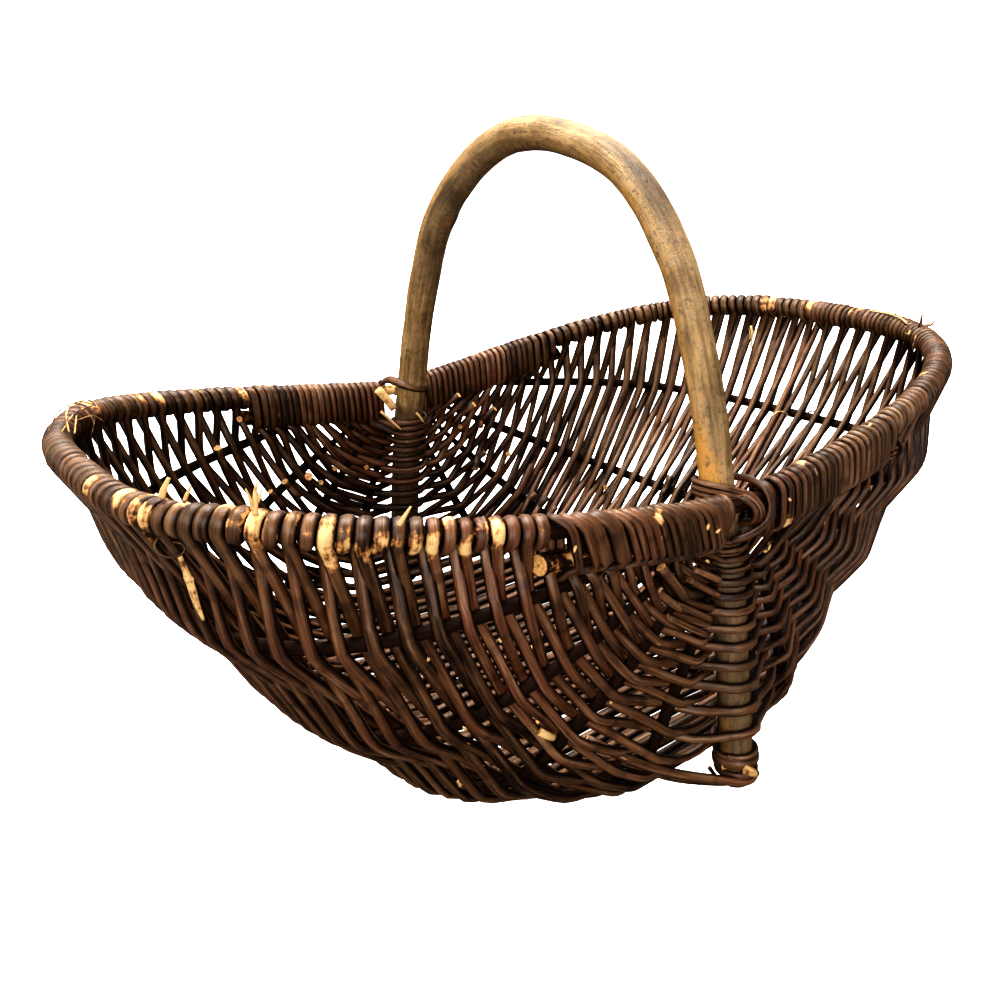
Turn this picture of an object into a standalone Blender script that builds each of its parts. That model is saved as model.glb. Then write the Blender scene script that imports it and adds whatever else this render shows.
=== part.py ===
"""Willow frame basket: an oval rim hoop, a bowed handle whose legs run down to feet, a fan of tapered
ribs on each side of the handle, filler rods, lashings, and a woven wall that curls over the rim.

Metres, +Z up. +X is the long axis, -Y the side with the near handle leg. The belly rests on Z = 0.
"""

import math

import bmesh
import bpy
from mathutils import Vector

MM = 0.001
GAP = 0.3 * MM

# Rim hoop: an oval, squarer than an ellipse, that dips where the handle crosses it
RIM_HALF_LENGTH = 275 * MM
RIM_HALF_WIDTH = 171 * MM
RIM_SQUARENESS = 3.0
RIM_DIP_HEIGHT = 164.5 * MM
RIM_END_RISE = 41 * MM
RIM_DIP_SOFTNESS = 0.12
RIM_ROD_RADIUS = 3.9 * MM
RIM_POINTS = 96

# Handle: one rod from foot to foot, as (y, z) points of its bow in millimetres
HANDLE_BOW = (
    (-181, 6), (-177, 45), (-171, 90), (-166, 125), (-156.5, 165), (-148, 205), (-137.5, 240),
    (-117, 287), (-79, 326), (-26, 343.5), (24, 344), (70, 325), (108, 292), (129, 251),
    (143, 212), (155.3, 165), (164, 128), (170.5, 88), (175.5, 46), (179, 6),
)
HANDLE_RADIUS_NEAR = 9.0 * MM
HANDLE_RADIUS_FAR = 10.6 * MM
HANDLE_BASE_X = -4 * MM
HANDLE_LEAN = 0.03
HANDLE_STEPS_PER_SPAN = 3

# Ribs fan out below the rim, about the line through both crossings of rim and handle
# name: (side in X, fan angle in degrees, reach, squareness, distance of its tips from a crossing)
RIBS = {
    "rib_left_upper": (-1, 7, 250 * MM, 3.4, 72 * MM),
    "rib_left_middle": (-1, 27, 221.5 * MM, 3.4, 38 * MM),
    "rib_left_lower": (-1, 45, 208.5 * MM, 3.4, 37 * MM),
    "rib_left_bottom": (-1, 67, 170.5 * MM, 5.2, 34 * MM),
    "rib_right_bottom": (1, 67, 170.5 * MM, 5.2, 34 * MM),
    "rib_right_lower": (1, 48, 184 * MM, 3.4, 37 * MM),
    "rib_right_middle": (1, 28, 196 * MM, 3.4, 38 * MM),
    "rib_right_upper": (1, 7, 241 * MM, 3.4, 72 * MM),
}
KEEL = (1, 90, 156.2 * MM, 5.2, 0)
RIB_RADIUS = 3.8 * MM
RIB_TIP_RADIUS = 1.5 * MM
RIB_TAPER_LENGTH = 60 * MM
RIB_POINTS = 30

# Filler rods lie under the rim on both sides of each crossing: name: (side in X, side in Y, reach)
FILLERS = {
    "filler_near_left": (-1, -1, 121 * MM),
    "filler_near_right": (1, -1, 128 * MM),
    "filler_far_left": (-1, 1, 126 * MM),
    "filler_far_right": (1, 1, 142 * MM),
}
FILLER_RADIUS = 3.4 * MM
FILLER_DROP = 7.8 * MM
FILLER_START = 24 * MM
FILLER_POINTS = 10

# Weave: rows of weavers that run round each crossing, from rim to rim under the ribs
WEAVE_THICKNESS = 3.2 * MM
WEAVE_OFFSET = 7.0 * MM
WEAVE_ROWS = 20
WEAVE_START = 34 * MM
LEG_CLEARANCE = 3.6 * MM
LAST_LEG_ROW_HEIGHT = 28 * MM
LEG_SPREAD_TOP = 25
LEG_SPREAD_FOOT = 90
LEG_SHARES = (-1, -0.5, 0, 0.5, 1)
STATION_DROP = 3 * MM
CURL_RADIUS = 7.0 * MM
CURL_ANGLES = (238, 195, 165, 128, 90, 52, 15, -15, -45)
FLOOR_CUT_SIZE = 1.0
SEAM_GAP = 0.4 * MM

# Lashings: diagonal turns over rim and leg at each crossing, and level turns round each foot
STRAND_RADIUS = 1.9 * MM
LASHING_TURNS = 3
LASHING_HALF_RUN = 19.5 * MM
LASHING_PITCH = 4.3 * MM
LASHING_CLEARANCE = 1.6 * MM
LASHING_LAYER = 4.6 * MM
LASHING_LEAN = 0.2
LASHING_SQUARENESS = 0.7
TURN_POINTS = 16
FOOT_TURNS = 3
FOOT_BINDING_HEIGHT = 19 * MM
FOOT_BINDING_PITCH = 4.5 * MM

PATH_SAMPLES = 240
BARK_BROWN = (0.085, 0.045, 0.030)
ROD_BROWN = (0.12, 0.075, 0.045)
HANDLE_BARK = (0.30, 0.22, 0.12)


def clear_scene():
    for old in list(bpy.data.objects):
        bpy.data.objects.remove(old, do_unlink=True)


def new_collection(name):
    collection = bpy.data.collections.new(name)
    bpy.context.scene.collection.children.link(collection)
    return collection


def bark_material(name, color, roughness):
    material = bpy.data.materials.new(name)
    material.use_nodes = True
    shader = material.node_tree.nodes["Principled BSDF"]
    shader.inputs["Base Color"].default_value = (*color, 1.0)
    shader.inputs["Roughness"].default_value = roughness
    shader.inputs["Metallic"].default_value = 0.0
    material.diffuse_color = (*color, 1.0)
    return material


def catmull_rom(p0, p1, p2, p3, t):
    """A point on the smooth curve between p1 and p2."""
    return 0.5 * (
        2 * p1
        + (p2 - p0) * t
        + (2 * p0 - 5 * p1 + 4 * p2 - p3) * t * t
        + (3 * p1 - p0 - 3 * p2 + p3) * t * t * t
    )


def smooth_path(knots, steps):
    """The knots joined by one smooth curve, with so many steps between neighbours."""
    padded = [2 * knots[0] - knots[1], *knots, 2 * knots[-1] - knots[-2]]
    path = []
    for i in range(1, len(knots)):
        for step in range(steps):
            path.append(catmull_rom(*padded[i - 1:i + 3], step / steps))
    return path + [knots[-1]]


def point_along(path, distance):
    """The point at a distance along a path from its first point."""
    for start, end in zip(path, path[1:]):
        span = (end - start).length
        if distance <= span:
            return start.lerp(end, distance / span)
        distance -= span
    return path[-1].copy()


def path_length(path):
    return sum((end - start).length for start, end in zip(path, path[1:]))


def part_of(path, start, end, count):
    """Evenly spaced points between two distances along a path."""
    return [point_along(path, start + (end - start) * i / (count - 1)) for i in range(count)]


def tube(name, points, radii, collection, material, cyclic=False, resolution=2):
    """A rod that follows the points, with a radius for each of them."""
    data = bpy.data.curves.new(name, "CURVE")
    data.dimensions = "3D"
    data.bevel_depth = 1.0
    data.bevel_resolution = resolution
    data.use_fill_caps = not cyclic
    data.resolution_u = 1
    spline = data.splines.new("POLY")
    spline.points.add(len(points) - 1)
    spline.use_cyclic_u = cyclic
    for target, place, radius in zip(spline.points, points, radii):
        target.co = (*place, 1.0)
        target.radius = radius
    data.materials.append(material)
    rod = bpy.data.objects.new(name, data)
    collection.objects.link(rod)
    return rod


def rim_point(angle):
    """The rim rod's axis at a plan angle: 0 is +X, pi / 2 is +Y."""
    across, along = math.cos(angle), math.sin(angle)
    power = RIM_SQUARENESS
    size = abs(across / RIM_HALF_LENGTH) ** power + abs(along / RIM_HALF_WIDTH) ** power
    radius = size ** (-1 / power)
    share = radius * across / RIM_HALF_LENGTH
    rise = math.hypot(share, RIM_DIP_SOFTNESS) - RIM_DIP_SOFTNESS
    rise /= math.hypot(1, RIM_DIP_SOFTNESS) - RIM_DIP_SOFTNESS
    return Vector((radius * across, radius * along, RIM_DIP_HEIGHT + RIM_END_RISE * rise))


def rim_path(side_x, side_y):
    """Half of the rim, from the crossing at side_y round one end to the other crossing."""
    steps = PATH_SAMPLES
    start = side_y * math.pi / 2
    turn = -side_x * side_y * math.pi
    return [rim_point(start + turn * i / steps) for i in range(steps + 1)]


def rib_path(spec, side_y):
    """A rib's axis, a bent rod in its fan plane, from the crossing at side_y to the other."""
    side_x, fan, reach, power, _ = spec
    slope = math.radians(fan)
    path = []
    for i in range(PATH_SAMPLES + 1):
        angle = math.pi * (i / PATH_SAMPLES - 0.5)
        outward, across = abs(math.cos(angle)), math.sin(angle)
        size = (outward / reach) ** power + abs(across / RIM_HALF_WIDTH) ** power
        radius = size ** (-1 / power)
        depth = radius * outward
        path.append(Vector((
            side_x * depth * math.cos(slope),
            -side_y * radius * across,
            RIM_DIP_HEIGHT - depth * math.sin(slope),
        )))
    return path


def handle_path():
    knots = []
    for across, height in HANDLE_BOW:
        height *= MM
        knots.append(Vector((HANDLE_BASE_X + HANDLE_LEAN * height, across * MM, height)))
    return smooth_path(knots, HANDLE_STEPS_PER_SPAN)


def handle_radius(place):
    """The rod is thicker at its far, butt end."""
    far_share = 0.5 + 0.5 * place.y / RIM_HALF_WIDTH
    far_share = min(max(far_share, 0.0), 1.0)
    return HANDLE_RADIUS_NEAR + (HANDLE_RADIUS_FAR - HANDLE_RADIUS_NEAR) * far_share


def leg_path(side_y):
    """The handle's leg on one side, from the rim's height down to the foot."""
    path = [p for p in handle_path() if p.y * side_y > 0 and p.z <= RIM_DIP_HEIGHT + 1 * MM]
    return sorted(path, key=lambda place: -place.z)


def leg_point(side_y, height):
    path = leg_path(side_y)
    for upper, lower in zip(path, path[1:]):
        if lower.z <= height <= upper.z:
            return upper.lerp(lower, (upper.z - height) / (upper.z - lower.z))
    return path[0].copy() if height > path[0].z else path[-1].copy()


def make_rim_hoop(collection, material):
    angles = [2 * math.pi * i / RIM_POINTS for i in range(RIM_POINTS)]
    points = [rim_point(angle) for angle in angles]
    radii = [RIM_ROD_RADIUS] * RIM_POINTS
    return tube("rim_hoop", points, radii, collection, material, cyclic=True)


def make_handle_hoop(collection, material):
    points = handle_path()
    radii = [handle_radius(place) for place in points]
    return tube("handle_hoop", points, radii, collection, material, resolution=4)


def make_rib(name, spec, collection, material):
    """One rib, tapered to a sharpened tip near each crossing."""
    path = rib_path(spec, -1)
    start = spec[4]
    length = path_length(path)
    points = part_of(path, start, length - start, RIB_POINTS)
    radii = []
    for i in range(RIB_POINTS):
        run = (length - 2 * start) * i / (RIB_POINTS - 1)
        from_tip = min(run, length - 2 * start - run)
        share = min(from_tip / RIB_TAPER_LENGTH, 1.0)
        radii.append(RIB_TIP_RADIUS + (RIB_RADIUS - RIB_TIP_RADIUS) * share)
    return tube(name, points, radii, collection, material, resolution=1)


def make_filler(name, spec, collection, material):
    side_x, side_y, reach = spec
    points = part_of(rim_path(side_x, side_y), FILLER_START, reach, FILLER_POINTS)
    for place in points:
        place.z -= FILLER_DROP
    return tube(name, points, [FILLER_RADIUS] * FILLER_POINTS, collection, material, resolution=1)


def filler_share(side_x, side_y, distance):
    """1 where a filler rod lies under the rim, falling to 0 past its end."""
    for spec_x, spec_y, reach in FILLERS.values():
        if (spec_x, spec_y) == (side_x, side_y):
            past_end = (distance - reach) / WEAVE_START
            return min(max(1.0 - past_end, 0.0), 1.0)
    return 0.0


def curl_points(side_x, side_y, path, distance):
    """The weave's curl over the rim: from inside, over the top, to outside and below."""
    here = point_along(path, distance)
    ahead = point_along(path, distance + 2 * MM)
    along = (ahead - here).normalized()
    outward = along.cross(Vector((0, 0, 1))) * side_x * -side_y
    outward.z = 0
    outward.normalize()
    drop = FILLER_DROP * filler_share(side_x, side_y, distance)
    points = []
    for degrees in CURL_ANGLES:
        angle = math.radians(degrees)
        point = here + outward * math.cos(angle) * CURL_RADIUS
        point.z += math.sin(angle) * CURL_RADIUS
        if math.sin(angle) < 0:
            point.z -= drop
        points.append(point)
    return points


def rib_station(spec, path, distance):
    """Where the weave passes outside a rib."""
    side_x, fan = spec[0], math.radians(spec[1])
    here = point_along(path, distance)
    along = point_along(path, distance + 2 * MM) - point_along(path, distance - 2 * MM)
    outward = along.cross(Vector((side_x * math.sin(fan), 0, math.cos(fan)))).normalized()
    if outward.dot(here - Vector((0, 0, RIM_DIP_HEIGHT))) < 0:
        outward.negate()
    return here + outward * WEAVE_OFFSET


def leg_stations(side_y, path, distance):
    """Where the weave passes round the handle's leg, or lies under the belly past the foot."""
    height = RIM_DIP_HEIGHT - distance
    leg = leg_point(side_y, max(height, LAST_LEG_ROW_HEIGHT))
    clear = handle_radius(leg) + LEG_CLEARANCE
    share_down = min(distance / (RIM_DIP_HEIGHT - LAST_LEG_ROW_HEIGHT), 1.0)
    spread = LEG_SPREAD_TOP + (LEG_SPREAD_FOOT - LEG_SPREAD_TOP) * share_down ** 2
    points = []
    for share in LEG_SHARES:
        angle = math.radians(spread * share)
        if height >= LAST_LEG_ROW_HEIGHT:
            aside = Vector((math.sin(angle), side_y * math.cos(angle), 0))
            points.append(leg + aside * clear)
        else:
            aside = Vector((leg.x + clear * math.sin(angle), 0, 0))
            points.append(rib_station(KEEL, path, distance) + aside)
    return points


def weave_distance(path, row):
    """How far from the crossing a row of the weave meets a path."""
    return WEAVE_START + (path_length(path) / 2 - WEAVE_START) * row / WEAVE_ROWS


def side_row(side_x, side_y, ribs, row):
    """One row of the weave on one side of the leg, from the curl on the rim down to the last rib."""
    path = rim_path(side_x, side_y)
    points = curl_points(side_x, side_y, path, weave_distance(path, row))
    for spec in ribs:
        path = rib_path(spec, side_y)
        point = rib_station(spec, path, weave_distance(path, row))
        point.z = min(point.z, points[-1].z - STATION_DROP)
        points.append(point)
    return points


def weave_row(side_y, row):
    """One row of the weave, from the curl on the left rim to the curl on the right rim."""
    left_ribs = [spec for spec in RIBS.values() if spec[0] < 0]
    right_ribs = [spec for spec in reversed(RIBS.values()) if spec[0] > 0]
    keel = rib_path(KEEL, side_y)
    points = side_row(-1, side_y, left_ribs, row)
    points += leg_stations(side_y, keel, weave_distance(keel, row))
    points += reversed(side_row(1, side_y, right_ribs, row))
    if row == WEAVE_ROWS:
        for point in points:
            point.y = side_y * SEAM_GAP
    return points


def make_weave(name, side_y, collection, cutter, material):
    """Half of the woven wall as a sheet through its rows, with the hole that the foot comes out of."""
    rows = [weave_row(side_y, row) for row in range(WEAVE_ROWS + 1)]
    keel = rib_path(KEEL, side_y)
    first_leg_column = (len(rows[0]) - len(LEG_SHARES)) // 2
    foot_hole = range(first_leg_column, first_leg_column + len(LEG_SHARES) - 1)
    bm = bmesh.new()
    grid = [[bm.verts.new(point) for point in row] for row in rows]
    for i in range(WEAVE_ROWS):
        on_leg = RIM_DIP_HEIGHT - weave_distance(keel, i) >= LAST_LEG_ROW_HEIGHT
        next_on_leg = RIM_DIP_HEIGHT - weave_distance(keel, i + 1) >= LAST_LEG_ROW_HEIGHT
        for j in range(len(rows[0]) - 1):
            if j in foot_hole and on_leg and not next_on_leg:
                continue
            corners = [grid[i][j], grid[i + 1][j], grid[i + 1][j + 1], grid[i][j + 1]]
            bm.faces.new(corners if side_y < 0 else corners[::-1])
    data = bpy.data.meshes.new(name)
    bm.to_mesh(data)
    bm.free()
    data.materials.append(material)
    sheet = bpy.data.objects.new(name, data)
    collection.objects.link(sheet)
    wall = sheet.modifiers.new("Wall", "SOLIDIFY")
    wall.thickness = WEAVE_THICKNESS
    wall.offset = 0.0
    wall.use_even_offset = True
    flat = sheet.modifiers.new("Floor", "BOOLEAN")
    flat.operation = "DIFFERENCE"
    flat.solver = "EXACT"
    flat.object = cutter
    return sheet


def make_floor_cutter(collection):
    """The space below the floor, which cuts the belly flat where it rests."""
    bpy.ops.mesh.primitive_cube_add(size=FLOOR_CUT_SIZE, location=(0, 0, -FLOOR_CUT_SIZE / 2))
    cutter = bpy.context.object
    cutter.name = "floor_cutter"
    for owner in list(cutter.users_collection):
        owner.objects.unlink(cutter)
    collection.objects.link(cutter)
    cutter.hide_render = True
    cutter.display_type = "WIRE"
    return cutter


def rounded(share):
    """A cosine or sine share, moved outwards so that a loop is a rounded box and no ellipse."""
    return math.copysign(abs(share) ** LASHING_SQUARENESS, share)


def make_lashing(name, side_y, tilt, layer, collection, material):
    """Slanting turns over the rim and the leg; the second layer runs across the first."""
    rim = rim_point(side_y * math.pi / 2)
    leg = leg_point(side_y, RIM_DIP_HEIGHT)
    leg_back = leg.y - side_y * handle_radius(leg)
    rim_front = rim.y + side_y * RIM_ROD_RADIUS
    middle = Vector((leg.x, (leg_back + rim_front) / 2, rim.z))
    depth = abs(rim_front - leg_back) / 2 + LASHING_CLEARANCE + STRAND_RADIUS
    depth += layer * LASHING_LAYER
    run_way = Vector((1, 0, tilt))
    step_way = Vector((-tilt, 0, 1)).normalized()
    points = []
    for i in range(LASHING_TURNS * TURN_POINTS + 1):
        turn = i / TURN_POINTS
        angle = 2 * math.pi * turn
        centre = middle + step_way * LASHING_PITCH * (turn - LASHING_TURNS / 2)
        place = centre + run_way * LASHING_HALF_RUN * rounded(math.cos(angle))
        place.y += side_y * (depth * rounded(math.sin(angle)) - LASHING_LEAN * (place.z - rim.z))
        points.append(place)
    return tube(name, points, [STRAND_RADIUS] * len(points), collection, material, resolution=1)


def make_foot_binding(name, side_y, collection, material):
    """Level turns of a weaver round the leg just above its foot."""
    count = FOOT_TURNS * TURN_POINTS + 1
    points = []
    for i in range(count):
        turn = i / TURN_POINTS
        height = FOOT_BINDING_HEIGHT + FOOT_BINDING_PITCH * (turn - FOOT_TURNS / 2)
        leg = leg_point(side_y, height)
        radius = handle_radius(leg) + GAP + STRAND_RADIUS * 1.15
        angle = 2 * math.pi * turn
        points.append(leg + Vector((radius * math.cos(angle), radius * math.sin(angle), 0)))
    return tube(name, points, [STRAND_RADIUS] * count, collection, material, resolution=1)


def main():
    clear_scene()
    basket = new_collection("willow_basket")
    cutters = new_collection("cutters")
    weaver_bark = bark_material("weaver_bark", BARK_BROWN, 0.6)
    rod_bark = bark_material("rod_bark", ROD_BROWN, 0.65)
    handle_bark = bark_material("handle_bark", HANDLE_BARK, 0.6)
    floor_cutter = make_floor_cutter(cutters)
    make_rim_hoop(basket, rod_bark)
    make_handle_hoop(basket, handle_bark)
    for name, spec in RIBS.items():
        make_rib(name, spec, basket, rod_bark)
    for name, spec in FILLERS.items():
        make_filler(name, spec, basket, rod_bark)
    make_weave("weave_front", -1, basket, floor_cutter, weaver_bark)
    make_weave("weave_back", 1, basket, floor_cutter, weaver_bark)
    make_lashing("near_lashing_falling", -1, -1, 0, basket, weaver_bark)
    make_lashing("near_lashing_rising", -1, 1, 1, basket, weaver_bark)
    make_lashing("far_lashing_rising", 1, 1, 0, basket, weaver_bark)
    make_lashing("far_lashing_falling", 1, -1, 1, basket, weaver_bark)
    make_foot_binding("near_foot_binding", -1, basket, weaver_bark)
    make_foot_binding("far_foot_binding", 1, basket, weaver_bark)


main()
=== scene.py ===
"""Dresses a packed willow frame basket for rendering.

Each woven half becomes single willow rods that go over and under the ribs and turn round the rim. The
handle, ribs, filler rods, lashings and foot bindings get their own shapes, cut ends and bark.
Metres, +Z up. +X is the long axis, and -Y the side with the near handle leg.
"""

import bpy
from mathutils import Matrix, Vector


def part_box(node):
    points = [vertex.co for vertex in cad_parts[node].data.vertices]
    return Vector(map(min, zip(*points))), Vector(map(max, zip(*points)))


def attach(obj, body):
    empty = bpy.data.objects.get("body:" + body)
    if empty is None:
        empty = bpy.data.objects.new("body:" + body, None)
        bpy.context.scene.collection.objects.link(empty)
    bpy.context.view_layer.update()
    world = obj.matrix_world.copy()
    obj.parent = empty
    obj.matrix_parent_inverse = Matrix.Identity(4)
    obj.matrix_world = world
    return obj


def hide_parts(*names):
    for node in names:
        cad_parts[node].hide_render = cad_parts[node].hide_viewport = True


bl_info = {
    "name": "Willow Frame Basket",
    "version": (1, 0, 0),
    "blender": (4, 5, 0),
    "location": "View3D > Sidebar > Basket",
    "description": "Weaves and finishes a willow frame basket round its packed frame",
    "category": "Add Mesh",
}

import math
import random
from collections import namedtuple

import bmesh
import bpy
from bpy.props import FloatProperty, FloatVectorProperty, IntProperty, PointerProperty
from mathutils import Matrix, Vector, noise

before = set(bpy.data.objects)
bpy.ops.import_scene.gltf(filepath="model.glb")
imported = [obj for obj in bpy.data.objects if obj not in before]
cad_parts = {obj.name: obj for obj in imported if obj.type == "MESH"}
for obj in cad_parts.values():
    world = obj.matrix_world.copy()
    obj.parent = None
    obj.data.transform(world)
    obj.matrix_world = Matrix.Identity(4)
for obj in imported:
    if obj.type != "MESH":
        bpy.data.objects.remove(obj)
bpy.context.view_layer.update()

MM = 0.001
UP = Vector((0, 0, 1))

_, RIM_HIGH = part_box("rim_hoop")
RIM_ROD_RADIUS = 3.9 * MM
RIM_SQUARENESS = 3.0
RIM_DIP_SOFTNESS = 0.12
PATH_STEPS = 240

# Handle bow from foot to foot, as (y, z) in millimetres
HANDLE_BOW = (
    (-181, 6), (-177, 45), (-171, 90), (-166, 125), (-156.5, 165), (-148, 205), (-137.5, 240),
    (-117, 287), (-79, 326), (-26, 343.5), (24, 344), (70, 325), (108, 292), (129, 251),
    (143, 212), (155.3, 165), (164, 128), (170.5, 88), (175.5, 46), (179, 6),
)
HANDLE_BASE_X = -4 * MM
HANDLE_LEAN = 0.03

# Ribs fan out below the rim, about the line through both crossings of rim and handle. The fan angle
# is in degrees below level, and tip_start is how far its pared tips begin from a crossing.
Rib = namedtuple("Rib", "side_x fan reach squareness tip_start")
RIBS = {
    "rib_left_upper": Rib(-1, 7, 250 * MM, 3.4, 72 * MM),
    "rib_left_middle": Rib(-1, 27, 221.5 * MM, 3.4, 38 * MM),
    "rib_left_lower": Rib(-1, 45, 208.5 * MM, 3.4, 37 * MM),
    "rib_left_bottom": Rib(-1, 67, 170.5 * MM, 5.2, 34 * MM),
    "rib_right_bottom": Rib(1, 67, 170.5 * MM, 5.2, 34 * MM),
    "rib_right_lower": Rib(1, 48, 184 * MM, 3.4, 37 * MM),
    "rib_right_middle": Rib(1, 28, 196 * MM, 3.4, 38 * MM),
    "rib_right_upper": Rib(1, 7, 241 * MM, 3.4, 72 * MM),
}

# Filler rods lie under the rim on both sides of each crossing: (side in X, side in Y) to its reach
FILLERS = {
    (-1, -1): 121 * MM,
    (1, -1): 128 * MM,
    (-1, 1): 126 * MM,
    (1, 1): 142 * MM,
}
FILLER_START = 24 * MM
FILLER_DROP = 14 * MM
FILLER_TIP_RADIUS = 2.6 * MM

# Rubbed places on the rim: (side in X, side in Y, millimetres from the crossing, degrees round it, size)
PEELED_TURNS = (
    (-1, -1, 387, 15, 8), (-1, -1, 351, 45, 7), (-1, -1, 320, 75, 9), (-1, -1, 304, 30, 11),
    (-1, -1, 302, 120, 7), (-1, -1, 282, 110, 8), (-1, -1, 262, 100, 6), (-1, -1, 250, 40, 12),
    (-1, -1, 236, 80, 6), (-1, -1, 219, 0, 12), (-1, -1, 210, -25, 8), (-1, -1, 196, -10, 8),
    (-1, -1, 186, -20, 8), (-1, -1, 176, -15, 7), (-1, -1, 165, 80, 8), (-1, -1, 163, -25, 6),
    (-1, -1, 148, 30, 9), (-1, -1, 128, 20, 5), (-1, -1, 60, 40, 5), (-1, 1, 253, 105, 9),
    (-1, 1, 232, 20, 6), (-1, 1, 207, 105, 7), (-1, 1, 196, 125, 7), (-1, 1, 162, 60, 7),
    (-1, 1, 128, 130, 7), (-1, 1, 108, 60, 7), (1, 1, 372, 100, 12), (1, 1, 333, 130, 13),
    (1, 1, 222, 75, 5), (1, 1, 72, 75, 5), (1, -1, 352, 60, 12), (1, -1, 293, 40, 6),
    (1, -1, 192, 130, 6), (1, -1, 117, 150, 5), (1, -1, 51, 100, 6), (1, -1, 33, -40, 5),
)

# Seeds of the random draws of each piece or step
SEEDS = {
    "ribs": 5, "weave_front": 11, "weave_back": 12, "near_lashing": 3, "far_lashing": 4,
    "near_foot_binding_turns": 7, "far_foot_binding_turns": 9, "loose_ends": 21,
}

HANDLE_SIDES = 44
HANDLE_STEPS = 300
# Marks on the handle: (millimetres from the near foot, degrees round it, half length, half width)
HANDLE_OCHRE = (
    (326, 208, 12, 5), (312, 248, 9, 5), (301, 280, 12, 4), (287, 248, 13, 6), (269, 232, 8, 5),
    (258, 232, 9, 5), (241, 264, 22, 6), (184, 208, 26, 14), (174, 176, 14, 12), (547, 272, 9, 6),
    (578, 344, 12, 7), (649, 352, 30, 10), (27, 192, 30, 9), (662, 20, 24, 12),
)
HANDLE_DARK = (
    (221, 208, 9, 4), (547, 304, 16, 7), (598, 344, 14, 6), (451, 288, 10, 3), (419, 288, 8, 3),
    (390, 272, 9, 3), (205, 240, 20, 3), (350, 300, 26, 3),
)
# Swellings of the handle: (millimetres from the near foot, degrees round it, height, size)
HANDLE_BUMPS = (
    (499, 32, 1.6, 7), (589, 48, 1.8, 8), (221, 208, 0.9, 5), (547, 304, 0.8, 9), (300, 200, 0.7, 12),
)
# A foot is rounded over this length, in rings as (millimetres from its end, share of the thickness)
FOOT_LENGTH = 7.5 * MM
FOOT_RINGS = ((0.1, 0.3), (0.4, 0.55), (1.1, 0.75), (2.4, 0.89), (4.3, 0.97), (6.5, 1.0))
# Turns round a leg above its foot: (heights of start and end, width, depth, degrees of its start)
FOOT_TURNS = (((23.5, 19.5), 7.2, 3.4, 150), ((17, 15), 5.0, 2.8, 20), ((27, 26), 4.2, 3.2, 200))
# Painted shade and highlight on the handle: how dark the leg below the rim, the strip on the handle's front
# left side and its upper side are painted as shade, and how ochre its flanks are painted as highlight
LEG_SHADE = 0.56
HANDLE_STRIP_SHADE = 0.5
HANDLE_UPPER_SHADE = 0.36
HANDLE_FLANK_HIGHLIGHT = 0.26

# Studio light: the way to its bright side, its strength there, how much there is of it at least, and
# how much the floor glows
STUDIO_BACK = (0.5, 0.75, 0.43)
STUDIO_BRIGHT = 0.9
STUDIO_DIM = 0.01
FLOOR_GLOW = 0.62
# Soft lights as (name, place, size in metres, watts)
SOFTBOXES = (
    ("top_softbox", (0.1, 0.35, 1.9), 1.3, 84), ("left_softbox", (-1.5, 0.1, 1.0), 0.8, 17),
    ("front_softbox", (-0.9, -1.6, 0.6), 0.8, 32),
)
CAMERA_PLACE = (-0.389, -0.5241, 0.3568)
CAMERA_YAW, CAMERA_PITCH, CAMERA_ROLL = math.radians(34.464), math.radians(19.787), math.radians(-2.403)
CAMERA_LENS = 38.57

# Stations that a pass of the weave meets between the rims: (rib name or "leg", how rim-like it is,
# and the length of its bend there against that in the settings)
STATIONS = (
    ("rib_left_upper", 0.85, 1.0), ("rib_left_middle", 0.6, 1.0), ("rib_left_lower", 0.4, 0.75),
    ("rib_left_bottom", 0.2, 0.4), ("leg", 0.0, 0.0), ("rib_right_bottom", 0.2, 0.4),
    ("rib_right_lower", 0.4, 0.45), ("rib_right_middle", 0.6, 0.5), ("rib_right_upper", 0.85, 0.6),
)

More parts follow.
